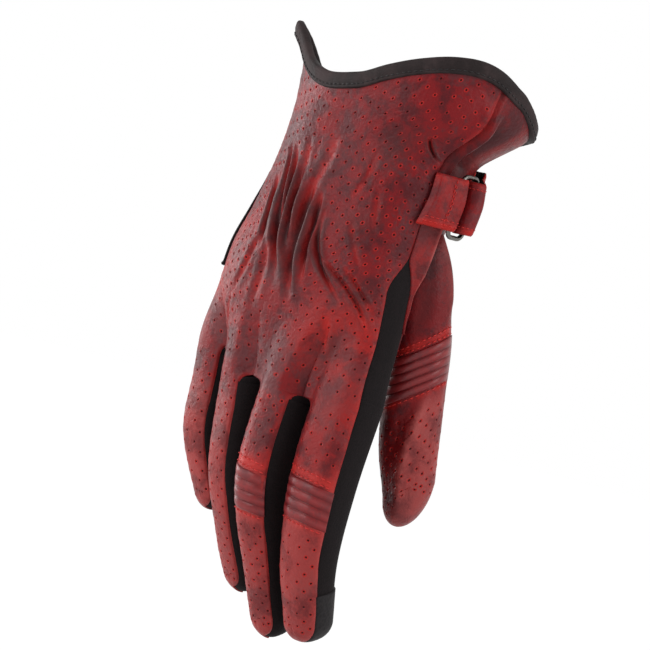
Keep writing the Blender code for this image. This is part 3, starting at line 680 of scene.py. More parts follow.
def fingerPanel(name, side):
    # surface of a finger from the slots to its tip: its own section plus what is left of the drawn-in edges
    number = fingers.index(name)

    def surface(v, u, grow=0.0):
        across = (number + np.clip(u, 1e-6, 1 - 1e-6)) / 4
        angle = fingerAngle(name, u, side)
        start = fingerStart(name, slotLine(across))
        run, place, fan = digitRun(name, v, start)
        points = digitPoint(name, place, angle, fan, grow)
        pull = rootPoints(across, side, grow) - digitPoint(name, start, angle, grow=grow)
        opening = np.sqrt(np.clip(1 - np.clip(1 - run / seams["slotRound"], 0, 1) ** 2, 0, 1))
        points[..., :2] += (1 - opening)[..., None] * pull[..., :2]
        points[..., 2] += (1 - ramp(run, 0, seams["slotLevel"])) * pull[..., 2]
        return points, place, fan, tipHold(fan)

    return surface


creaseForm = {
    "perDegree": 0.62, "ends": (-0.12, 0.35, 0.65, 1.12), "crestAt": 2.2, "crestHalf": 1.2, "crestRise": 0.4,
    "paintedShade": 0.6, "grey": 0.5,
}


def creaseHeight(down, angle, creases):
    # narrow grooves along parabolas, each with a swelling on either side; gives the height, how deep in a groove
    # a point lies, which is painted as shade, and how near a crest
    degrees = np.degrees(angle)
    lift, groove, crest = (np.zeros(down.shape) for _ in range(3))
    for startDown, startAngle, midAngle, endDown, endAngle, half, depth in creases:
        t = np.clip((down - startDown) / (endDown - startDown), -0.2, 1.2)
        envelope = bump(t, *creaseForm["ends"])
        middle = startAngle * (1 - t) * (1 - 2 * t) + 4 * midAngle * t * (1 - t) + endAngle * t * (2 * t - 1)
        away = creaseForm["perDegree"] * (degrees - middle)
        inside = hump(away, 0, half)
        beside = hump(np.abs(away), creaseForm["crestAt"] * half, creaseForm["crestHalf"] * half)
        lift += envelope * depth * (creaseForm["crestRise"] * beside - inside)
        groove = np.maximum(groove, envelope * inside * min(1.0, creaseForm["paintedShade"] * depth))
        crest = np.maximum(crest, envelope * beside * min(1.0, creaseForm["grey"] * depth))
    return lift, groove, crest * (1 - groove)


cuffFold = {
    "down": (12.0, 40.0), "angle": (4.0, -1.0), "depth": 5.5, "steep": 1.5, "slope": 6.5, "tongue": (2.2, -4.0, 2.2),
    "shade": (0.7, (24, 33, 40, 44), (-20, -10, 6, 10)),  # painted shadow of the strap, above it: strength, down, angle in degrees
    "flare": (0.9, (10, 18, 30, 40), (-44, -34, -12, -7)),  # brighter red on the flared side beyond the fold
}


def zone(down, degrees, strength, downLimits, roundLimits):
    # a soft-edged patch of the hand
    return strength * reach(down, downLimits) * reach(degrees, roundLimits)


def foldHeight(down, degrees):
    # the deep fold of the cuff's thumb side: a tongue beside the seam that drops steeply into a hollow, which
    # rises slowly towards the palm; gives the height, and painted shade deepest in the hollow together with the strap's
    # painted shadow
    top, foot = cuffFold["down"]
    envelope = bump(down, top - 4, top + 10, foot - 6, foot + 3)
    away = 0.8 * (np.interp(down, cuffFold["down"], cuffFold["angle"]) - degrees)
    hollow = np.where(away > 0, np.exp(-np.abs(away) / cuffFold["slope"]), hump(away, 0, cuffFold["steep"]))
    height, place, half = cuffFold["tongue"]
    lift = envelope * (height * hump(away, place, half) - cuffFold["depth"] * hollow)
    return lift, np.maximum(envelope * hollow**0.7, zone(down, degrees, *cuffFold["shade"]))


def leatherSwell(points):
    # uneven fullness of soft leather: a few slow waves through space
    x, y, z = np.moveaxis(points, -1, 0)
    wave = np.sin(x / 9.1 + z / 15.0) * np.sin(z / 11.3 - y / 8.0) + 0.6 * np.sin(x / 5.2 - z / 7.1 + 1.3)
    return 0.22 * wave


def perforate(surface, rows, cols, allowed):
    # moves the grid's points into rings round a staggered pattern of holes; gives both parameters of every point,
    # its height and its distance from a hole
    r, c = np.meshgrid(np.arange(rows), np.arange(cols), indexing="ij")
    base = surface(r / (rows - 1), c / (cols - 1))[0]
    rowStep = np.maximum(np.linalg.norm(np.gradient(base, axis=0), axis=-1), 0.2)
    colStep = np.maximum(np.linalg.norm(np.gradient(base, axis=1), axis=-1), 0.2)
    half = holes["rows"] // 2
    k = np.round((r - half) / holes["rows"]).astype(int)
    rowAt = half + k * holes["rows"]
    shift = (k % 2) * holes["columns"] // 2
    colAt = shift + holes["columns"] * np.round((c - shift) / holes["columns"]).astype(int)
    rings = len(holes["ringRadius"])
    inside = (rowAt > rings) & (rowAt < rows - 1 - rings) & (colAt > rings) & (colAt < cols - 1 - rings)
    active = inside & allowed[np.clip(rowAt, 0, rows - 1), np.clip(colAt, 0, cols - 1)]
    dr, dc = r - rowAt, c - colAt
    ring = np.maximum(np.abs(dr), np.abs(dc))
    turned = active & (ring < rings)
    near = np.clip(ring, 0, rings - 1)
    radius = np.array(holes["ringRadius"])[near]
    around = np.arctan2(dr, dc)
    newRow = np.where(turned, rowAt + radius * np.sin(around) / rowStep, r)
    newCol = np.where(turned, colAt + radius * np.cos(around) / colStep, c)
    distance = np.where(turned, radius, np.hypot(dr * rowStep, dc * colStep))
    distance = np.where(active, np.minimum(distance, holes["far"]), holes["far"])
    height = np.where(turned, np.array(holes["ringHeight"])[near], 0.0)
    return newRow / (rows - 1), newCol / (cols - 1), height, distance


rubbedEdge = (0.3, 4.0)  # wear fades over this distance from a panel's edge


def edgeDip(share, width, depth=0.55, run=1.6):
    # panels turn down at their sewn edges; share runs from 0 at one edge to 1 at the other
    edge = np.minimum(share, 1 - share) * width
    return -depth * (1 - ramp(edge, 0, run)), 1 - ramp(edge, *rubbedEdge)


def leatherMarks(grid, wear=0.0, groove=0.0, crest=0.0, fade=0.0, pit=holes["far"]):
    # the leather's attributes over a grid of points: groove paints shade, fade paints sheen and highlights, crest is
    # grey on folds and a painted highlight on ribs
    marks = {"wear": wear, "pit": pit, "groove": groove, "crest": crest, "fade": fade}
    return {key: value + np.zeros(grid.shape[:2]) for key, value in marks.items()}


def dress(surface, rows, cols, allowed, extra, width):
    # one perforated panel: outer and inner points and the leather's attributes
    v, u, height, pit = perforate(surface, rows, cols, allowed)
    base, along, turn, hold = surface(v, u)
    normal = outward(base)
    dip, edgeWear = edgeDip(u, width)
    # extra gives relief, wear, painted shade (groove), crest and painted sheen (fade)
    lift, wear, groove, crest, fade = extra(along, turn, base)
    outer = base + normal * (hold * (height + dip + lift))[..., None]
    inner = surface(v, u, -handShape["wall"])[0] + normal * (hold * np.minimum(dip + lift, 0))[..., None]
    return outer, inner, leatherMarks(base, np.clip(0.45 * edgeWear + wear, 0, 1), groove, crest, fade, pit)


def joined(upper, lower):
    # normals over two grids that share a row, so that the join doesn't show
    normal = outward(np.concatenate([upper, lower[1:]]))
    return normal[: len(upper)], normal[len(upper) - 1 :]


def solid(name, part):
    # name of a digit's solid in the frame
    return f"{solidNames.get(name, name)}_{part}"


def fit(piece, body, slot, *nodes):
    # the piece rides a body and stands in for solids
    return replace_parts(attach(piece, body), *nodes)


def bend(piece):
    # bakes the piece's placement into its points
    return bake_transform(piece)


def fitDigit(piece, name, slot, *parts):
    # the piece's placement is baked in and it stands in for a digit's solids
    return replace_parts(bend(piece), *(solid(name, part) for part in parts))


ribForm = {
    "count": {"index": 4, "middle": 4, "thumb": 5}, "slant": {"index": 5.0, "middle": 4.0, "thumb": 0.0},
    "height": 1.0, "flat": 0.42, "base": 0.2, "inner": -0.4, "rows": 12, "columns": 60, "fill": 0.8,
    "taper": 0.4, "low": 0.6, "lowAcross": (0.45, 0.75),  # low at the sides and on a finger's far side
    "stitches": ((0, -1.0), (0, -3.4), (1, 1.0)),  # rows: edge, down from it
    "sewn": (0.12, 0.68), "thumbSewn": (0.12, 0.88),  # across the digit
    "rub": 0.75, "rubbed": ((0, -2.2, 2.0), (1, 1.2, 1.4)),  # bright bands: edge, down from it, half width
}


def ribSlant(name, u):
    # the rows run further down the digit on its thumb side
    return (0.5 - u) * ribForm["slant"][name] / digitShapes[name]["length"]


def stitchWear(name, place, u):
    # bright bands along the stitch rows above and below the ribs
    ribs, length = digitShapes[name]["ribs"], digitShapes[name]["length"]
    if not ribs:
        return 0 * place
    level = (place - ribSlant(name, u)) * length
    return ribForm["rub"] * sum(hump(level, ribs[edge] * length + down, half) for edge, down, half in ribForm["rubbed"])


backLook = {  # zones: strength, limits down, limits round the hand in degrees
    "rubbed": ((0.5, (88, 108, 116, 136), (10, 24, 58, 84)), (0.4, (66, 84, 96, 126), (112, 140))),
    # painted sheen: towards the little-finger side, a trace lower down the back, and more down the fingers
    "paintedSheen": (0.3, (66, 92, 100, 126), (110, 150)), "paintedSheenLow": (60, 120), "paintedSheenLeast": 0.06,
    "lip": 1.1, "lipDown": (4, 12, 34, 44), "lipAngle": (16, 4),  # swelling beside the cuff's fold
    "smoke": ((67, 54, 8), (95, 39, 8), (121, 47, 6), (34, 52, 9)), "smokeDepth": 0.55,  # down, angle, half size
    "flush": 0.4, "flushAcross": (0.3, 0.9), "flushDown": (104, 136), "flushPlace": (0.12, 0.36),
    "width": 118.0, "fingerWidth": 30.0, "holesTo": 150.0, "creaseClear": 2.4,
    "fingerSheen": {"index": 0.36, "middle": 0.36, "ring": 0.36, "little": 0.46}, "sheenRun": 0.3, "sheenBelowRibs": 0.25,
}


def indexFlush(across):
    # brighter red on the index's thumb side, by the share across the finger
    return backLook["flush"] * (1 - ramp(across, *backLook["flushAcross"]))


def joinFinger(name, side, hand, finger, cols):
    # draws the first row of a finger's panel onto the hand's last and makes the finger's piece
    (outer, inner, marks, normals), (skin, under, ownMarks) = hand, finger
    number = fingers.index(name)
    columns = slice(number * cols, (number + 1) * cols + 1)
    skin[0], under[0] = outer[-1, columns], inner[-1, columns]
    above, below = joined(outer[:, columns], skin)
    normals[-1, columns] = above[-1]
    part, slot = ("back", "perforated_leather") if side > 0 else ("palm", "smooth_leather")
    if side > 0:
        for key, values in ownMarks.items():
            values[0] = marks[key][-1, columns]
    piece = shell(f"{name}_{part}", skin, under, [redLeather, liningCloth], ownMarks, below)
    fitDigit(piece, name, slot, f"end_{part}")


def handBack(rows, cols):
    # perforated back of the hand, with the gathers at the wrist
    surface = handPanel(1)
    v, u = unitGrid(rows, cols)

    def extra(down, angle, base):
        lift, groove, crest = creaseHeight(down, angle, backCreases)
        degrees = np.degrees(angle)
        flank = np.clip(groove * (1 - groove) * 4, 0, 1)
        lip = backLook["lip"] * bump(down, *backLook["lipDown"]) * hump(degrees, *backLook["lipAngle"])
        rubbed = sum(zone(down, degrees, *limits) for limits in backLook["rubbed"])
        rubbed += ramp(down, *backLook["flushDown"]) * indexFlush(4 * u)
        for patchDown, patchAngle, half in backLook["smoke"]:
            smoke = hump(down, patchDown, half) * hump(0.7 * degrees, 0.7 * patchAngle, half)
            crest = np.maximum(crest, backLook["smokeDepth"] * smoke)
        # painted sheen towards the little-finger side and lower down
        fade = zone(down, degrees, *backLook["paintedSheen"]) + backLook["paintedSheenLeast"] * ramp(down, *backLook["paintedSheenLow"])
        # the crease grooves take painted shade
        return lift + lip + leatherSwell(base), 0.6 * flank + rubbed, ramp(groove, 0.25, 0.9), crest, fade

    _, down, angle, _ = surface(v, u)
    clear = backLook["creaseClear"]
    strong = [crease[:5] + (clear * crease[5], crease[6]) for crease in backCreases if crease[6] > 1.5]
    allowed = (creaseHeight(down, angle, strong)[1] < 0.08) & (angle < np.radians(backLook["holesTo"]))
    return dress(surface, rows, cols, allowed, extra, backLook["width"])


def fingerBack(name, cols):
    # perforated back of a finger; no holes under its ribs and at its tip
    shape = digitShapes[name]
    length = shape["length"] + tipStretch * shape["end"]
    rows = holes["rows"] * int(round(length / panelGrid["rowPitch"])) + 1
    surface = fingerPanel(name, 1)
    v, u = unitGrid(rows, cols)

    def extra(place, fan, base):
        knuckle = shape["knuckle"]
        rubbed = stitchWear(name, place, u) + 0.25 * bump(place, knuckle - 0.12, knuckle - 0.02, 0.95, 1.1)
        if name == "index":
            rubbed += (1 - ramp(place, *backLook["flushPlace"])) * indexFlush(u)
        early = backLook["sheenBelowRibs"] if shape["ribs"] else 0.0
        # painted sheen growing towards the fingertip
        fade = backLook["fingerSheen"][name] * ramp(place, early, early + backLook["sheenRun"])
        return leatherSwell(base), rubbed + 0.25 * ramp(fan, 0, 1), 0.0, 0.0, backLook["paintedSheenLeast"] + fade

    _, place, fan, _ = surface(v, u)
    free = fan < holes["lastFan"]
    if shape["ribs"]:
        free &= (place < shape["ribs"][0] - 0.05) | (place > shape["ribs"][1] + 0.05)
    return dress(surface, rows, cols, free, extra, backLook["fingerWidth"])


def backPanels():
    # perforated backs of the hand and fingers; the hand is cut in two halfway down
    cols = panelGrid["backColumns"]
    outer, inner, marks = handBack(holes["rows"] * panelGrid["handRows"] + 1, 4 * cols + 1)
    normals = outward(outer)
    for name in fingers:
        joinFinger(name, 1, (outer, inner, marks, normals), fingerBack(name, cols + 1), cols)
    half = holes["rows"] * (panelGrid["handRows"] // 2)
    for name, part in (("back_at_wrist", slice(0, half + 1)), ("back_of_hand", slice(half, None))):
        cut = {key: values[part] for key, values in marks.items()}
        piece = shell(name, outer[part], inner[part], [redLeather, liningCloth], cut, normals[part])
        fit(piece, "hand", "perforated_leather", "back_panel")


def smoothPanel(surface, rows, cols, width, creases=(), depth=0.55, run=1.6):
    # a panel without holes; creases are placed by the surface's second and third values
    v, u = unitGrid(rows, cols)
    base, down, angle, hold = surface(v, u)
    normal = outward(base)
    dip, wear = edgeDip(u, width, depth, run)
    creased, groove, crest = creaseHeight(down, angle, creases)
    if creases:
        degrees = np.degrees(angle)
        folded, hollow = foldHeight(down, degrees)
        creased, groove = creased + folded, np.maximum(groove, hollow)
        wear = wear + zone(down, degrees, *cuffFold["flare"])
    lift = (hold * (dip + creased + leatherSwell(base)))[..., None]
    outer = base + normal * lift
    inner = surface(v, u, -handShape["wall"])[0] + normal * np.minimum(lift, 0)
    # the groove value paints shade into crease grooves and the cuff's hollow; smooth panels are also a quarter of the
    # way to that dark tone all over
    return outer, inner, leatherMarks(base, np.clip(0.45 * wear, 0, 1), np.maximum(groove, 0.25), crest)


def palmPanels():
    # smooth palm of the hand and palm sides of the fingers
    cols = panelGrid["palmColumns"]
    outer, inner, marks = smoothPanel(handPanel(-1), panelGrid["palmRows"], 4 * cols + 1, 130.0, palmCreases, 1.6, 2.6)
    normals = outward(outer)
    for name in fingers:
        finger = smoothPanel(fingerPanel(name, -1), panelGrid["fingerRows"], cols + 1, 28.0)
        joinFinger(name, -1, (outer, inner, marks, normals), finger, cols)
    piece = shell("palm_of_hand", outer, inner, [redLeather, liningCloth], marks, normals)
    fit(piece, "hand", "smooth_leather", "palm_panel")


backPanels()
palmPanels()
print("leather panels made")

# Black strips between back and palm

strips = {
    "inset": 0.5, "inner": 1.5, "tuck": 5.0, "columns": 14, "below": 3.5, "arch": 2.6, "handTuck": 1.5,
    "wallRows": 70, "patchRows": 16, "patchFrom": 0.86, "patchStand": (0.55, 0.4),
    "fans": (8, 90, 12), "fansBack": (82, 8, 11),  # round a tip: first and last angle, rows
    "leg": 0.1, "legRows": 8, "legSink": 0.3, "foldSteps": 9, "sideRows": 60,
}


def flankAngles(name, side):
    # a flank's angles from the back's edge to the palm's edge, tucked a little under both; side 1 is the thumb side
    end = 0.0 if side > 0 else 1.0
    back, palm = (np.abs(fingerAngle(name, end, k)) for k in (1, -1))
    tuck = np.radians(strips["tuck"])
    if side > 0:
        return np.linspace(back + tuck, -palm - tuck, strips["columns"])
    return np.linspace(back - tuck, 2 * np.pi - palm + tuck, strips["columns"])


def flankRows(name, start, stop, side, count, sink=0.0):
    # outer and inner points of a flank's strip between two places down the finger
    places = np.linspace(start, stop, count)[:, None]
    grows = -strips["inset"] - sink, -strips["inner"] - sink
    return [digitPoint(name, places, flankAngles(name, side)[None], grow=g) for g in grows]


def tipRows(name, fans, side):
    # outer and inner points of the strip round the tip, between two angles of its fan
    angles = flankAngles(name, side)[None]
    grows = -strips["inset"], -strips["inner"]
    return [digitPoint(name, 1.0, angles, np.radians(np.linspace(*fans))[:, None], g) for g in grows]


def flankStart(name, side):
    # place on a finger's flank just under the slot's top; the index's thumb side begins above its root
    number = fingers.index(name)
    if side > 0 and number == 0:
        return -0.02
    return fingerStart(name, seams["slots"][number - 1 if side > 0 else number] + strips["below"])


def flankBand(name, start, stop, rows):
    # outer and inner grid of a band down the near flank, round the tip and, where it has a stop, up the far flank
    parts = [flankRows(name, start, 1, 1, rows), tipRows(name, strips["fans"], 1)]
    if stop is not None:
        parts += [tipRows(name, strips["fansBack"], -1), flankRows(name, 1, stop, -1, rows)]
    return [np.concatenate([part[k] for part in parts]) for k in (0, 1)]


def sidewall(name):
    # black strip down one flank, round the tip and up the other; the little finger has the first flank only
    stop = None if name == "little" else flankStart(name, -1)
    piece = shell(f"{name}_sidewall", *flankBand(name, flankStart(name, 1), stop, strips["wallRows"]), [blackKnit])
    parts = ["end_outer_wall", "end_inner_wall"] if name == "index" else ["end_sidewall"]
    fitDigit(piece, name, "stretch_knit", *parts)


def touchPatch():
    # patch round the index tip, over the sidewall
    outer, inner = flankBand("index", strips["patchFrom"], strips["patchFrom"], strips["patchRows"])
    out, under = (stand * unit(outer - inner) for stand in strips["patchStand"])
    piece = shell("index_touch_patch", outer + out, inner + under, [tipPatch])
    fit(piece, "index_end", "touch_patch", "index_end_touch_patch")


def crotchFolds():
    # the fold of each strip over its slot, from one finger's flank to the next
    for outerName, innerName in zip(fingers, fingers[1:]):
        legs = []
        for name, side in ((outerName, -1), (innerName, 1)):
            start = flankStart(name, side)
            legs.append(flankRows(name, start, start + strips["leg"], side, strips["legRows"], strips["legSink"]))
        turn = np.linspace(0, np.pi, strips["foldSteps"])[1:-1, None, None]
        grids = []
        for first, second in zip(*legs):
            first = first[::-1]
            middle, half = (first[-1:] + second[:1]) / 2, (second[:1] - first[-1:]) / 2
            rise = np.array([0, 0, strips["arch"]])
            fold = middle - half * np.cos(turn) + rise * np.sin(turn)
            grids.append(np.concatenate([first, fold, second]))
        piece = shell(f"{outerName}_{innerName}_fold", grids[0], grids[1], [blackKnit])
        fit(piece, "hand", "stretch_knit", solid(outerName, solid(innerName, "fourchette")))


def sideStrip():
    # from a point beside the thumb down to the index's flank, where its sidewall goes on
    u = np.linspace(0, 1, strips["columns"])[None, :]
    down = np.linspace(seams["stripTop"] - 1, handShape["crotch"] + 2, strips["sideRows"])[:, None]
    backEdge, palmEdge = edgeAngles(down)
    tuck = np.radians(strips["handTuck"])
    angle = (backEdge + tuck) * (1 - u) + (palmEdge - tuck) * u
    share = ramp(down, handShape["settleFrom"], handShape["crotch"])[..., None] + 0 * angle[..., None]
    grids = []
    for grow in (-strips["inset"], -strips["inner"]):
        grid = handPoint(down, angle, grow)
        root = digitPoint("index", 0.0, flankAngles("index", 1), grow=grow)[None]
        grid[..., :2] += (share * (root - grid))[..., :2]
        grids.append(grid)
    piece = shell("black_side_strip", grids[0], grids[1], [blackKnit])
    fit(piece, "hand", "stretch_knit", "index_side_strip")


thumbFold = {
    "ridge": (  # down, angle in degrees
        (58, -4.0), (63.4, -6.0), (76.6, -11.1), (89.5, -13.0), (98.4, -14.0), (107, -16.5),
    ),
    "down": (55.0, 106.0), "rise": (55.0, 61.0), "lift": 3.0, "full": 10.0, "least": 0.3, "stand": 0.2, "crown": 1.3,
    "roll": 1.6, "rolled": 0.3, "under": 0.8, "over": 0.8, "wall": 1.0, "rows": 90, "columns": 29,
}


def thumbFoldPanel():
    # smooth fold between the black strip and the thumb: it rises from the strip's edge to a sharp ridge, which
    # turns under in a quarter of an ellipse
    down = np.linspace(*thumbFold["down"], thumbFold["rows"])[:, None]
    across = np.linspace(0, 1 + thumbFold["rolled"], thumbFold["columns"])[None, :]
    share, turn = np.minimum(across, 1), np.clip((across - 1) / thumbFold["rolled"], 0, 1) * np.pi / 2
    edge = np.degrees(edgeAngles(down)[1]) + thumbFold["over"]
    ridge = np.minimum(through(thumbFold["ridge"], down)[..., 0], edge - thumbFold["least"])
    lift = thumbFold["lift"] * np.clip((edge - ridge) / thumbFold["full"], 0, 1) ** 0.6 * ramp(down, *thumbFold["rise"])
    angle = np.radians(edge + share * (ridge - edge) - thumbFold["roll"] * np.sin(turn))
    stand = thumbFold["stand"] + lift * share ** thumbFold["crown"] - (lift + thumbFold["under"]) * (1 - np.cos(turn))
    outer, inner = handPoint(down, angle, stand), handPoint(down, angle, -thumbFold["wall"])
    # a painted highlight along the ridge and a slight painted sheen over the whole fold
    marks = leatherMarks(outer, 0.2, fade=0.1 + 0.9 * hump(across, 1.0, 0.08))
    fit(shell("thumb_fold", outer, inner, [redLeather], marks), "hand", "smooth_leather", "palm_panel")


ulnar = {"stand": (-0.4, -1.3), "rows": 30, "columns": 8, "cord": (0.3, 0.6), "full": 0.4, "knob": (0.6, 0.985, 0.015)}


def ulnarStrip():
    # lens-shaped strip on the little-finger side
    top, *_, foot = seams["ulnar"]
    down = np.linspace(top + 1, foot - 1, ulnar["rows"])[:, None]
    tuck = np.radians(strips["handTuck"])
    share = np.linspace(0, 1, ulnar["columns"])[None]
    angle = np.pi - (ulnarEdge(down, 1) + tuck) * (1 - share) + (ulnarEdge(down, -1) + tuck) * share
    piece = shell("ulnar_strip", *(handPoint(down, angle, stand) for stand in ulnar["stand"]), [blackKnit])
    fit(piece, "hand", "stretch_knit", "ulnar_side_strip")


def ulnarPiping():
    # black cord along the strip's edge on the back, thicker downwards, with a small knob at its foot
    top, *_, foot = seams["ulnar"]
    down, share = np.linspace(top + 4, foot - 1, 60), np.linspace(0, 1, 60)
    (thin, more), (knob, knobPlace, knobHalf) = ulnar["cord"], ulnar["knob"]
    radius = thin + more * ramp(share, 0, ulnar["full"]) + knob * hump(share, knobPlace, knobHalf)
    angle = np.radians(seams["piping"])
    centre = handPoint(down, angle, 0.3)
    out = unit(handPoint(down, angle, 1.3) - centre)
    tangent = unit(np.gradient(centre, axis=0))
    out = unit(out - tangent * np.sum(out * tangent, -1, keepdims=True))
    around = np.linspace(0, 2 * np.pi, 10, endpoint=False)[None, :, None]
    ring = np.cos(around) * out[:, None] + np.sin(around) * np.cross(tangent, out)[:, None]
    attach(sweep("ulnar_piping", centre[:, None] + radius[:, None, None] * ring, [blackKnit]), "hand")


for fingerName in fingers:
    sidewall(fingerName)
touchPatch()
crotchFolds()
sideStrip()
thumbFoldPanel()
ulnarStrip()
ulnarPiping()
print("black strips made")

# Thumb

thumbGrid = {"columns": 99, "rows": 329, "start": 0.03, "palmColumns": 41, "palmRows": 100, "width": 40.0}
thumbLook = {  # along the thumb: the end below the ribs, and the fold above them; across it: the end's ridge
    "end": (0.66, 0.76), "fold": (0.06, 0.16, 0.38, 0.47), "ridge": 0.38, "ridgeShift": 0.22, "ridgeRun": (0.64, 1.0),
    "ridgeForm": ((1.3, 0.0, 0.08), (-0.9, 0.2, 0.12)),  # height, away from the ridge's line, half width
    "lip": (1.2, 0.13, 0.06), "hollow": 0.5,
}


def thumbPanel(side):
    # half of the thumb's tube, over v from its root to the tip and u from one side seam to the other
    def surface(v, u, grow=0.0):
        _, place, fan = digitRun("thumb", v, thumbGrid["start"])
        points = digitPoint("thumb", place, fingerAngle("thumb", u, side), fan, grow)
        return points, place, fan, tipHold(fan)

    return surface


def thumbPieces():
    # perforated back and smooth palm side of the thumb
    rows, cols, width = thumbGrid["rows"], thumbGrid["columns"], thumbGrid["width"]
    surface = thumbPanel(1)
    v, share = unitGrid(rows, cols)
    _, place, fan, _ = surface(v, share)
    free = (fan < holes["lastFan"]) & (place > digitShapes["thumb"]["ribs"][1] + 0.06)

    def extra(place, fan, base):
        # a ridge slanting down the thumb's end with painted shade on its far side, painted sheen on its near side and a
        # painted highlight along it, and a fold down its upper part with a painted highlight on its lip and painted
        # shade in its hollow
        low, high = reach(place, thumbLook["end"]), reach(place, thumbLook["fold"])
        hollow = high * hump(share, 0.37 + 0.6 * (place - 0.22), 0.1)
        rise, lipPlace, lipHalf = thumbLook["lip"]
        lip = high * hump(share, lipPlace, lipHalf)
        line = thumbLook["ridge"] + thumbLook["ridgeShift"] * ramp(place, *thumbLook["ridgeRun"])
        ridge = sum(height * hump(share, line + away, half) for height, away, half in thumbLook["ridgeForm"])
        lift = low * ridge + rise * lip - thumbLook["hollow"] * hollow
        even = 1 - ramp(fan, 0, 0.9)
        # painted shade: beyond the ridge, over the thumb above the ribs and in the fold's hollow
        paintedShade = 0.42 * low * ramp(share, line, line + 0.16) * even + 0.2 * (1 - ramp(place, 0.4, 0.5)) + 0.45 * hollow
        # painted sheen on the near side of the ridge and over the tip, and painted highlights along the ridge and on
        # the lip
        fade = 0.6 * low * (1 - even * ramp(share, line, line + 0.1))
        fade += 0.3 * low * even * hump(share, line, 0.04) + 0.4 * lip
        return leatherSwell(base) + even * lift, 0.15 * low + stitchWear("thumb", place, share), paintedShade, 0.0, fade

    skin, under, marks = dress(surface, rows, cols, free, extra, width)
    piece = shell("thumb_back", skin, under, [redLeather, liningCloth], marks)
    fitDigit(piece, "thumb", "perforated_leather", "end_back", "gusset")
    skin, under, marks = smoothPanel(thumbPanel(-1), thumbGrid["palmRows"], thumbGrid["palmColumns"], width)
    piece = shell("thumb_palm", skin, under, [redLeather, liningCloth], marks)
    fitDigit(piece, "thumb", "smooth_leather", "end_palm")


thumbPieces()
print("thumb made")

# Ribbed knuckles


def ribPanel(name):
    # padded ribs across a knuckle, with sharp grooves between them, that die out at the panel's sides
    top, foot = digitShapes[name]["ribs"]
    count = ribForm["count"][name]
    share = np.linspace(0, 1, count * ribForm["rows"] + 1)[:, None]
    u = np.linspace(0, 1, ribForm["columns"] + 1)[None, :]
    place = top + share * (foot - top) + ribSlant(name, u)
    angle = fingerAngle(name, u, 1)
    swell = np.abs(np.sin(np.pi * count * share)) ** ribForm["flat"]
    low = 0.0 if name == "thumb" else ribForm["low"]
    taper = ramp(np.minimum(u, 1 - u), 0.0, ribForm["taper"]) * (1 - low * ramp(u, *ribForm["lowAcross"]))
    toEdge = np.minimum(share, 1 - share)
    stand = ribForm["base"] * (0.3 + 0.7 * taper) + ribForm["height"] * swell * taper
    outer = digitPoint(name, place, angle, grow=stand * (0.3 + 0.7 * ramp(toEdge, 0, 0.02)))
    inner = digitPoint(name, place, angle, grow=ribForm["inner"])
    wear = np.maximum(0.8 * (1 - ramp(toEdge, 0, 0.06)), 0.45)
    # painted shade in the grooves between the ribs and a painted highlight on their crests
    marks = leatherMarks(outer, wear, (1 - swell) ** 0.5, 0.55 * swell**3)
    piece = shell(f"{name}_ribs", outer, inner, [ribLeather], marks)
    fitDigit(piece, name, "rib_leather", "knuckle_ribs")


def ribStitches(name):
    # rows of stitches above and below the ribs
    shape = digitShapes[name]
    u = np.linspace(*ribForm["thumbSewn" if name == "thumb" else "sewn"], 60)
    angle = fingerAngle(name, u, 1)
    places = [shape["ribs"][edge] + down / shape["length"] + ribSlant(name, u) for edge, down in ribForm["stitches"]]
    paths = [digitPoint(name, place, angle, grow=0.25) for place in places]
    outs = [digitPoint(name, place, angle, grow=1.0) - digitPoint(name, place, angle) for place in places]
    bend(stitchRow(f"{name}_rib_stitches", paths, outs, redThread, 0.8))


for digitName in ribForm["count"]:
    ribPanel(digitName)
    ribStitches(digitName)
print("ribs made")

# Cuff

binding = {
    "height": 7.0, "thick": 3.4, "groove": 1.7, "inward": 0.5, "sides": 28, "steps": 260, "thread": 0.75,
    "square": 0.6, "pinch": 0.3, "pinchHalf": 0.5, "pucker": 0.04, "puckers": 90,
}
gathers = {
    "down": (64, 74), "angle": (75, 150), "stand": (-4.9, -5.7), "ruffle": 0.25, "waves": 1.6,
    "rows": 12, "columns": 90,
}


def cuffBinding():
    # rounded tape folded over the cuff's edge, with a sewn groove near its lower edge, carried round the mouth
    angle = np.linspace(-np.pi, np.pi, binding["steps"], endpoint=False)[:, None]
    turn = np.linspace(0, 2 * np.pi, binding["sides"], endpoint=False)[None, :]
    half, sewn = binding["height"] / 2, binding["height"] / 2 - binding["groove"]
    level = half * signedPower(np.cos(turn), binding["square"])
    pinch = 1 - binding["pinch"] * hump(level, sewn, binding["pinchHalf"])
    pucker = 1 + binding["pucker"] * np.sin(angle * binding["puckers"])
    bulge = binding["thick"] / 2 * signedPower(np.sin(turn), binding["square"]) * pinch * pucker
    middle = mouthDown(angle)
    grid = handPoint(middle, angle, bulge - binding["inward"])
    grid[..., 2] = -(middle + level)
    fit(sweep("cuff_tape", grid, [tape], closed=True), "hand", "binding", "cuff_binding")
    around = np.linspace(-np.pi, np.pi, 400)
    base, out = (handPoint(mouthDown(around), around, stand) for stand in (0.0, 1.0))
    path = handPoint(mouthDown(around), around, binding["thick"] / 2 - binding["thread"])
    path[..., 2] -= sewn
    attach(stitchRow("cuff_stitches", [path], [out - base], darkThread, 0.8), "hand")


def elasticBand():
    # ruffled band under the gathers
    down = np.linspace(*gathers["down"], gathers["rows"])[:, None]
    degrees = np.linspace(*gathers["angle"], gathers["columns"])[None, :]
    ruffle = gathers["ruffle"] * np.sin(degrees * gathers["waves"])
    sides = (handPoint(down, np.radians(degrees), ruffle + stand) for stand in gathers["stand"])
    fit(shell("gather_band", *sides, [loopPile]), "hand", "elastic", "gather_elastic")


cuffBinding()
elasticBand()
print("cuff made")

# Wrist strap

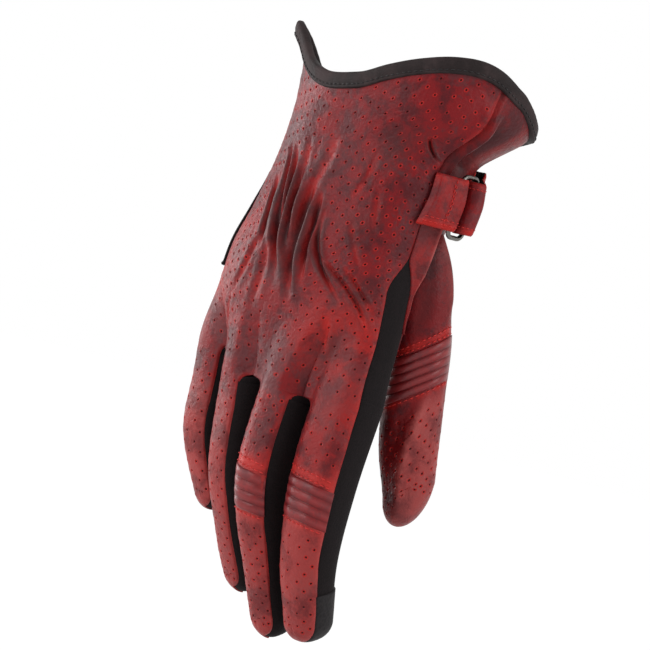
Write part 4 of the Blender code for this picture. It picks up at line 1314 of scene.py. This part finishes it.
strap = {
    "down": (39.0, 61.0), "wall": 1.4, "tapeWall": 0.8, "rows": 24, "corner": 2.5, "wire": 1.0,
    "ringAngle": -10.0, "bars": ((-5.5, 4.0), (3.4, 5.4)),  # bars of the ring: along, stand
    "over": 2.2, "overTop": 1.3,  # the ring's ends beyond the strap's edges
    "tabEye": 2.5, "strapEye": 4.6, "clear": 0.8, "tabTop": 4.2, "tabDrop": 2.6, "tabEnd": 14.0, "tabTopEnd": 16.0,
    "eyeNear": 11, "eyeFar": 15, "tabArc": (-80, 95), "strapArc": (-85, -275),  # degrees to and round the ring's bars
    "lean": 0.14, "leanRound": (-29, -20, 2, 13),  # the foot stands out beside the ring
    "climb": 5.0, "climbRound": (-110, -55, -40, -14),  # the strap climbs towards the palm
    "sewnEnd": -150.0, "hingeGap": 0.8, "layers": {  # stand, start and end in degrees
        "flap": (6.4, -30.0, -105.0), "hook": (4.6, -40.0, -99.0), "loop": (3.4, -38.0, -101.0),
    },
    "round": 0.5, "roundRun": 1.2, "rub": 0.85, "rubRun": (1.5, 4.5), "worn": 0.1, "tabWorn": 0.3,  # edges of the plies
    "tabSewn": (28, 5), "tabInsets": (2, 4), "loopSewn": (78, 96), "loopInset": 3,  # columns and rows of the plies
}


def wristPath(degrees, stand, down):
    # round the wrist at a stand off the hand; the foot of the strap stands out beside the ring
    lean = strap["lean"] * (down - strap["down"][0]) * reach(degrees, strap["leanRound"])
    points = handPoint(down, np.radians(degrees), stand + np.maximum(lean, 0))
    points[..., 2] += strap["climb"] * reach(degrees, strap["climbRound"])
    return points


def ringFrame(down):
    # middle of the ring's place on the wrist, the way out of it and the way round the wrist
    middle, ahead, behind = wristPath(strap["ringAngle"] + np.array([0, -1, 1]), 0.0, down)
    along = unit(ahead - behind)
    return middle, np.array([along[1], -along[0], 0.0]), along


def barCentre(share, down):
    # a point of the ring's plane, from the tab's bar at 0 to the strap's bar at 1
    middle, out, along = ringFrame(down)
    near, far = np.array(strap["bars"])
    place = near + share * (far - near)
    return middle + along * place[0] + out * place[1]


def eyeArc(bar, radius, limits, down):
    # arc of leather round one bar of the ring
    _, out, along = ringFrame(down)
    turn = np.radians(np.linspace(*limits, 24))[:, None]
    return barCentre(bar, down) + radius * (np.cos(turn) * along + np.sin(turn) * out)


def tabPath(down):
    # from the sewn end under the ring, round its first bar and back over itself
    below = wristPath(np.linspace(strap["tabEnd"], strap["ringAngle"] + strap["eyeFar"], 16), strap["clear"], down)
    angles = np.linspace(strap["ringAngle"] + strap["eyeNear"], strap["tabTopEnd"], 26)
    stand = strap["tabTop"] - strap["tabDrop"] * ramp(angles, strap["tabEnd"] - 1, strap["tabTopEnd"])
    above = wristPath(angles, stand, down)
    return np.concatenate([below, eyeArc(0.0, strap["tabEye"], strap["tabArc"], down), above])


def strapPath(down):
    # from the sewn end on the palm, round the ring's second bar and back to the flap's hinge
    stand, start, _ = strap["layers"]["flap"]
    below = wristPath(np.linspace(strap["sewnEnd"], strap["ringAngle"] - strap["eyeNear"], 70), strap["clear"], down)
    above = wristPath(np.linspace(strap["ringAngle"] - strap["eyeFar"], start + strap["hingeGap"], 8), stand, down)
    return np.concatenate([below, eyeArc(1.0, strap["strapEye"], strap["strapArc"], down), above])


def layerPath(layer):
    # course of one layer of the closure round the wrist, by the level down
    stand, start, end = strap["layers"][layer]
    return lambda down: wristPath(np.linspace(start, end, 60), stand, down)


def ply(name, path, wall, materials, flip=-1.0, worn=strap["worn"]):
    # a strap's ply: rows across its width, columns along its path; the edges are rounded off
    top, foot = strap["down"]
    share = np.linspace(0, 1, strap["rows"])
    outer = np.stack([path(top + t * (foot - top)) for t in share])
    normal = gridNormals(outer) * flip
    edge = np.minimum(share, 1 - share)[:, None] * (foot - top)
    dip = strap["round"] * (1 - ramp(edge, 0, strap["roundRun"]))[..., None]
    wear = np.maximum(strap["rub"] * (1 - ramp(edge, *strap["rubRun"])), worn)
    skin = outer - normal * dip
    return shell(name, skin, outer - normal * (wall - 0.5 * dip), materials, leatherMarks(skin, wear)), skin, normal


def plyStitches(name, lines, skin, normal, scale):
    # rows of stitches along lines of a ply's grid
    paths, outs = [skin[line] + 0.1 * normal[line] for line in lines], [normal[line] for line in lines]
    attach(stitchRow(name, paths, outs, redThread, scale), "hand")


def tabStitches(skin, normal):
    # two rows of stitches inside the tab's visible edges
    rows, cols = skin.shape[:2]
    first, last = (cols - k for k in strap["tabSewn"])
    lines = []
    for inset in strap["tabInsets"]:
        lines += [(slice(inset, rows - inset), first + inset), (rows - 1 - inset, slice(first, last))]
    plyStitches("tab_stitches", lines, skin, normal, 0.7)


def loopStitches(skin, normal):
    # a row of stitches along the loop's upper and lower edges, round its visible side
    inset = strap["loopInset"]
    lines = [(row, slice(*strap["loopSewn"])) for row in (inset, len(skin) - 1 - inset)]
    plyStitches("loop_stitches", lines, skin, normal, 0.6)


def strapRing():
    # rectangle of round wire with rounded corners
    top, foot = strap["down"][0] - strap["overTop"], strap["down"][1] + strap["over"]
    corner = strap["corner"]
    half = np.linalg.norm(np.subtract(*strap["bars"])) / 2
    turn = np.linspace(0, np.pi / 2, 10)
    points = []
    for k, (side, level) in enumerate(((1, foot), (-1, foot), (-1, top), (1, top))):
        angle = turn + k * np.pi / 2
        alongOffset = side * (half - corner) + corner * np.cos(angle)
        downOffset = level + (-corner if level == foot else corner) + corner * np.sin(angle)
        points += [barCentre(0.5 + a / (2 * half), d) for a, d in zip(alongOffset, downOffset)]
    centres = alongPath(points + points[:1], 0.8)[0][:-1]
    tangent = unit(np.roll(centres, -1, 0) - np.roll(centres, 1, 0))
    out = unit(np.mean([ringFrame(d)[1] for d in strap["down"]], axis=0))
    sideways = unit(np.cross(tangent, out))
    upward = np.cross(sideways, tangent)
    around = np.linspace(0, 2 * np.pi, 14, endpoint=False)[None, :, None]
    rings = centres[:, None] + strap["wire"] * (np.cos(around) * sideways[:, None] + np.sin(around) * upward[:, None])
    fit(sweep("nickel_ring", rings, [nickel], closed=True), "strap_ring", "nickel", "strap_ring")


def wristStrap():
    # tab, strap and flap of leather, the two patches between them, and the ring
    leather = [redLeather, strapBacking]
    tab, skin, normal = ply("wrist_tab", tabPath, strap["wall"], leather, 1.0, strap["tabWorn"])
    fit(tab, "hand", "smooth_leather", "strap_tab")
    tabStitches(skin, normal)
    band, skin, normal = ply("wrist_strap", strapPath, strap["wall"], leather)
    loopStitches(skin, normal)
    fit(band, "hand", "smooth_leather", "closure_strap")
    flap = ply("strap_end", layerPath("flap"), strap["wall"], leather)[0]
    fit(flap, "strap_flap", "smooth_leather", "strap_flap")
    for layer, body in (("hook", "strap_flap"), ("loop", "hand")):
        patch = ply(f"{layer}_tape", layerPath(layer), strap["tapeWall"], [loopPile])[0]
        fit(patch, body, "hook_and_loop", f"{layer}_patch")
    strapRing()


wristStrap()
print("strap made")

# Stage

studio = {
    "azimuth": 42.0, "roll": 14.0, "distance": 2.5, "frameWidth": 0.2653, "framePlane": 0.012, "sensor": 36.0,
    "centre": (-36.7, -104.1),  # of the picture, to the right of and above the origin
    "floor": -0.262, "floorHalf": 6000.0, "floorTone": 0.86, "floorRough": 0.9, "floorGlow": 1.12, "floorSeen": 0.85,
    "ambient": 0.36, "clipEnd": 20.0,
    "target": (0.0, -0.01, -0.11),
    "lamps": {  # to the right of, above and in front of the target; size, power
        "key": ((-1.0, 0.6, 0.7), 0.9, 8.0), "fill": ((1.1, 0.2, 0.6), 0.8, 6.5),
        "low": ((0.2, -1.0, 0.7), 0.8, 8.5), "edge": ((-1.0, 0.2, -0.5), 0.7, 9.0),
    },
}


def viewAxes():
    # right, up and towards the camera in the photograph's view
    a, roll = np.radians(studio["azimuth"]), np.radians(studio["roll"])
    level = np.array([np.cos(a), np.sin(a), 0.0])
    up = np.array([0.0, 0.0, 1.0])
    right = np.cos(roll) * level + np.sin(roll) * up
    return right, -np.sin(roll) * level + np.cos(roll) * up, np.array([np.sin(a), -np.cos(a), 0.0])


def put(data, axes, place):
    # an object at a place, turned to three axes
    thing = bpy.data.objects.new(data.name, data)
    matrix = np.eye(4)
    matrix[:3, :3], matrix[:3, 3] = np.stack(axes, axis=1), place
    thing.matrix_world = Matrix(matrix)
    bpy.context.scene.collection.objects.link(thing)
    return thing


def addCamera():
    # square on to the photograph's view, at the picture's centre
    right, up, towards = viewAxes()
    data = bpy.data.cameras.new("camera")
    data.sensor_width = studio["sensor"]
    data.lens = studio["sensor"] * studio["distance"] / studio["frameWidth"]
    data.clip_end = studio["clipEnd"]
    place = (right * studio["centre"][0] + up * studio["centre"][1]) * mm
    place = place + towards * (studio["framePlane"] + studio["distance"])
    bpy.context.scene.camera = put(data, (right, up, towards), place)


def addLamps():
    # square soft lamps aimed at the glove's middle
    target = np.array(studio["target"])
    for name, (offset, size, power) in studio["lamps"].items():
        place = target + offset @ np.array(viewAxes())
        data = bpy.data.lights.new(name, "AREA")
        data.shape, data.size, data.energy = "SQUARE", size, power
        back = unit(place - target)
        side = unit(np.cross((0, 0, 1), back))
        put(data, (side, np.cross(back, side), back), place)


def seenMix(tree, lit, seen, output, share=1.0):
    # the first shader for light, the second for the camera and in reflections
    path = tree.nodes.new("ShaderNodeLightPath")
    factor = path.outputs["Is Camera Ray"]
    for operation, other in (("MAXIMUM", "Is Glossy Ray"), ("MAXIMUM", "Is Transmission Ray"), ("MULTIPLY", None)):
        node = tree.nodes.new("ShaderNodeMath")
        node.operation = operation
        tree.links.new(factor, node.inputs[0])
        if other:
            tree.links.new(path.outputs[other], node.inputs[1])
        else:
            node.inputs[1].default_value = share
        factor = node.outputs["Value"]
    mix = tree.nodes.new("ShaderNodeMixShader")
    for socket, source in zip(mix.inputs, (factor, lit.outputs[0], seen.outputs[0])):
        tree.links.new(source, socket)
    tree.links.new(mix.outputs["Shader"], tree.nodes[output].inputs["Surface"])


def addWorld():
    # white where it is seen, dimmer as a light
    world = bpy.data.worlds.new("studio")
    bpy.context.scene.world = world
    world.use_nodes = True
    tree = world.node_tree
    ambient, white = tree.nodes["Background"], tree.nodes.new("ShaderNodeBackground")
    ambient.inputs["Strength"].default_value = studio["ambient"]
    for node in (ambient, white):
        node.inputs["Color"].default_value = (1, 1, 1, 1)
    seenMix(tree, ambient, white, "World Output")


def addFloor():
    # wide pale square under the glove, nearly white where it is seen
    points = np.array([(-1, -1), (1, -1), (1, 1), (-1, 1)]) * studio["floorHalf"]
    points = np.c_[points, np.full(4, studio["floor"] / mm)]
    floor = Finish("pale_floor", studio["floorRough"], Base_Color=(*(studio["floorTone"],) * 3, 1))
    glow = floor.add("ShaderNodeEmission")
    glow.inputs["Strength"].default_value = studio["floorGlow"]
    seenMix(floor.tree, floor.shader, glow, "Material Output", studio["floorSeen"])
    addMesh("floor", points, np.array([[0, 1, 2, 3]]), [floor.material])


addCamera()
addLamps()
addWorld()
addFloor()
bpy.context.scene.view_settings.view_transform = "Standard"
print("stage made")
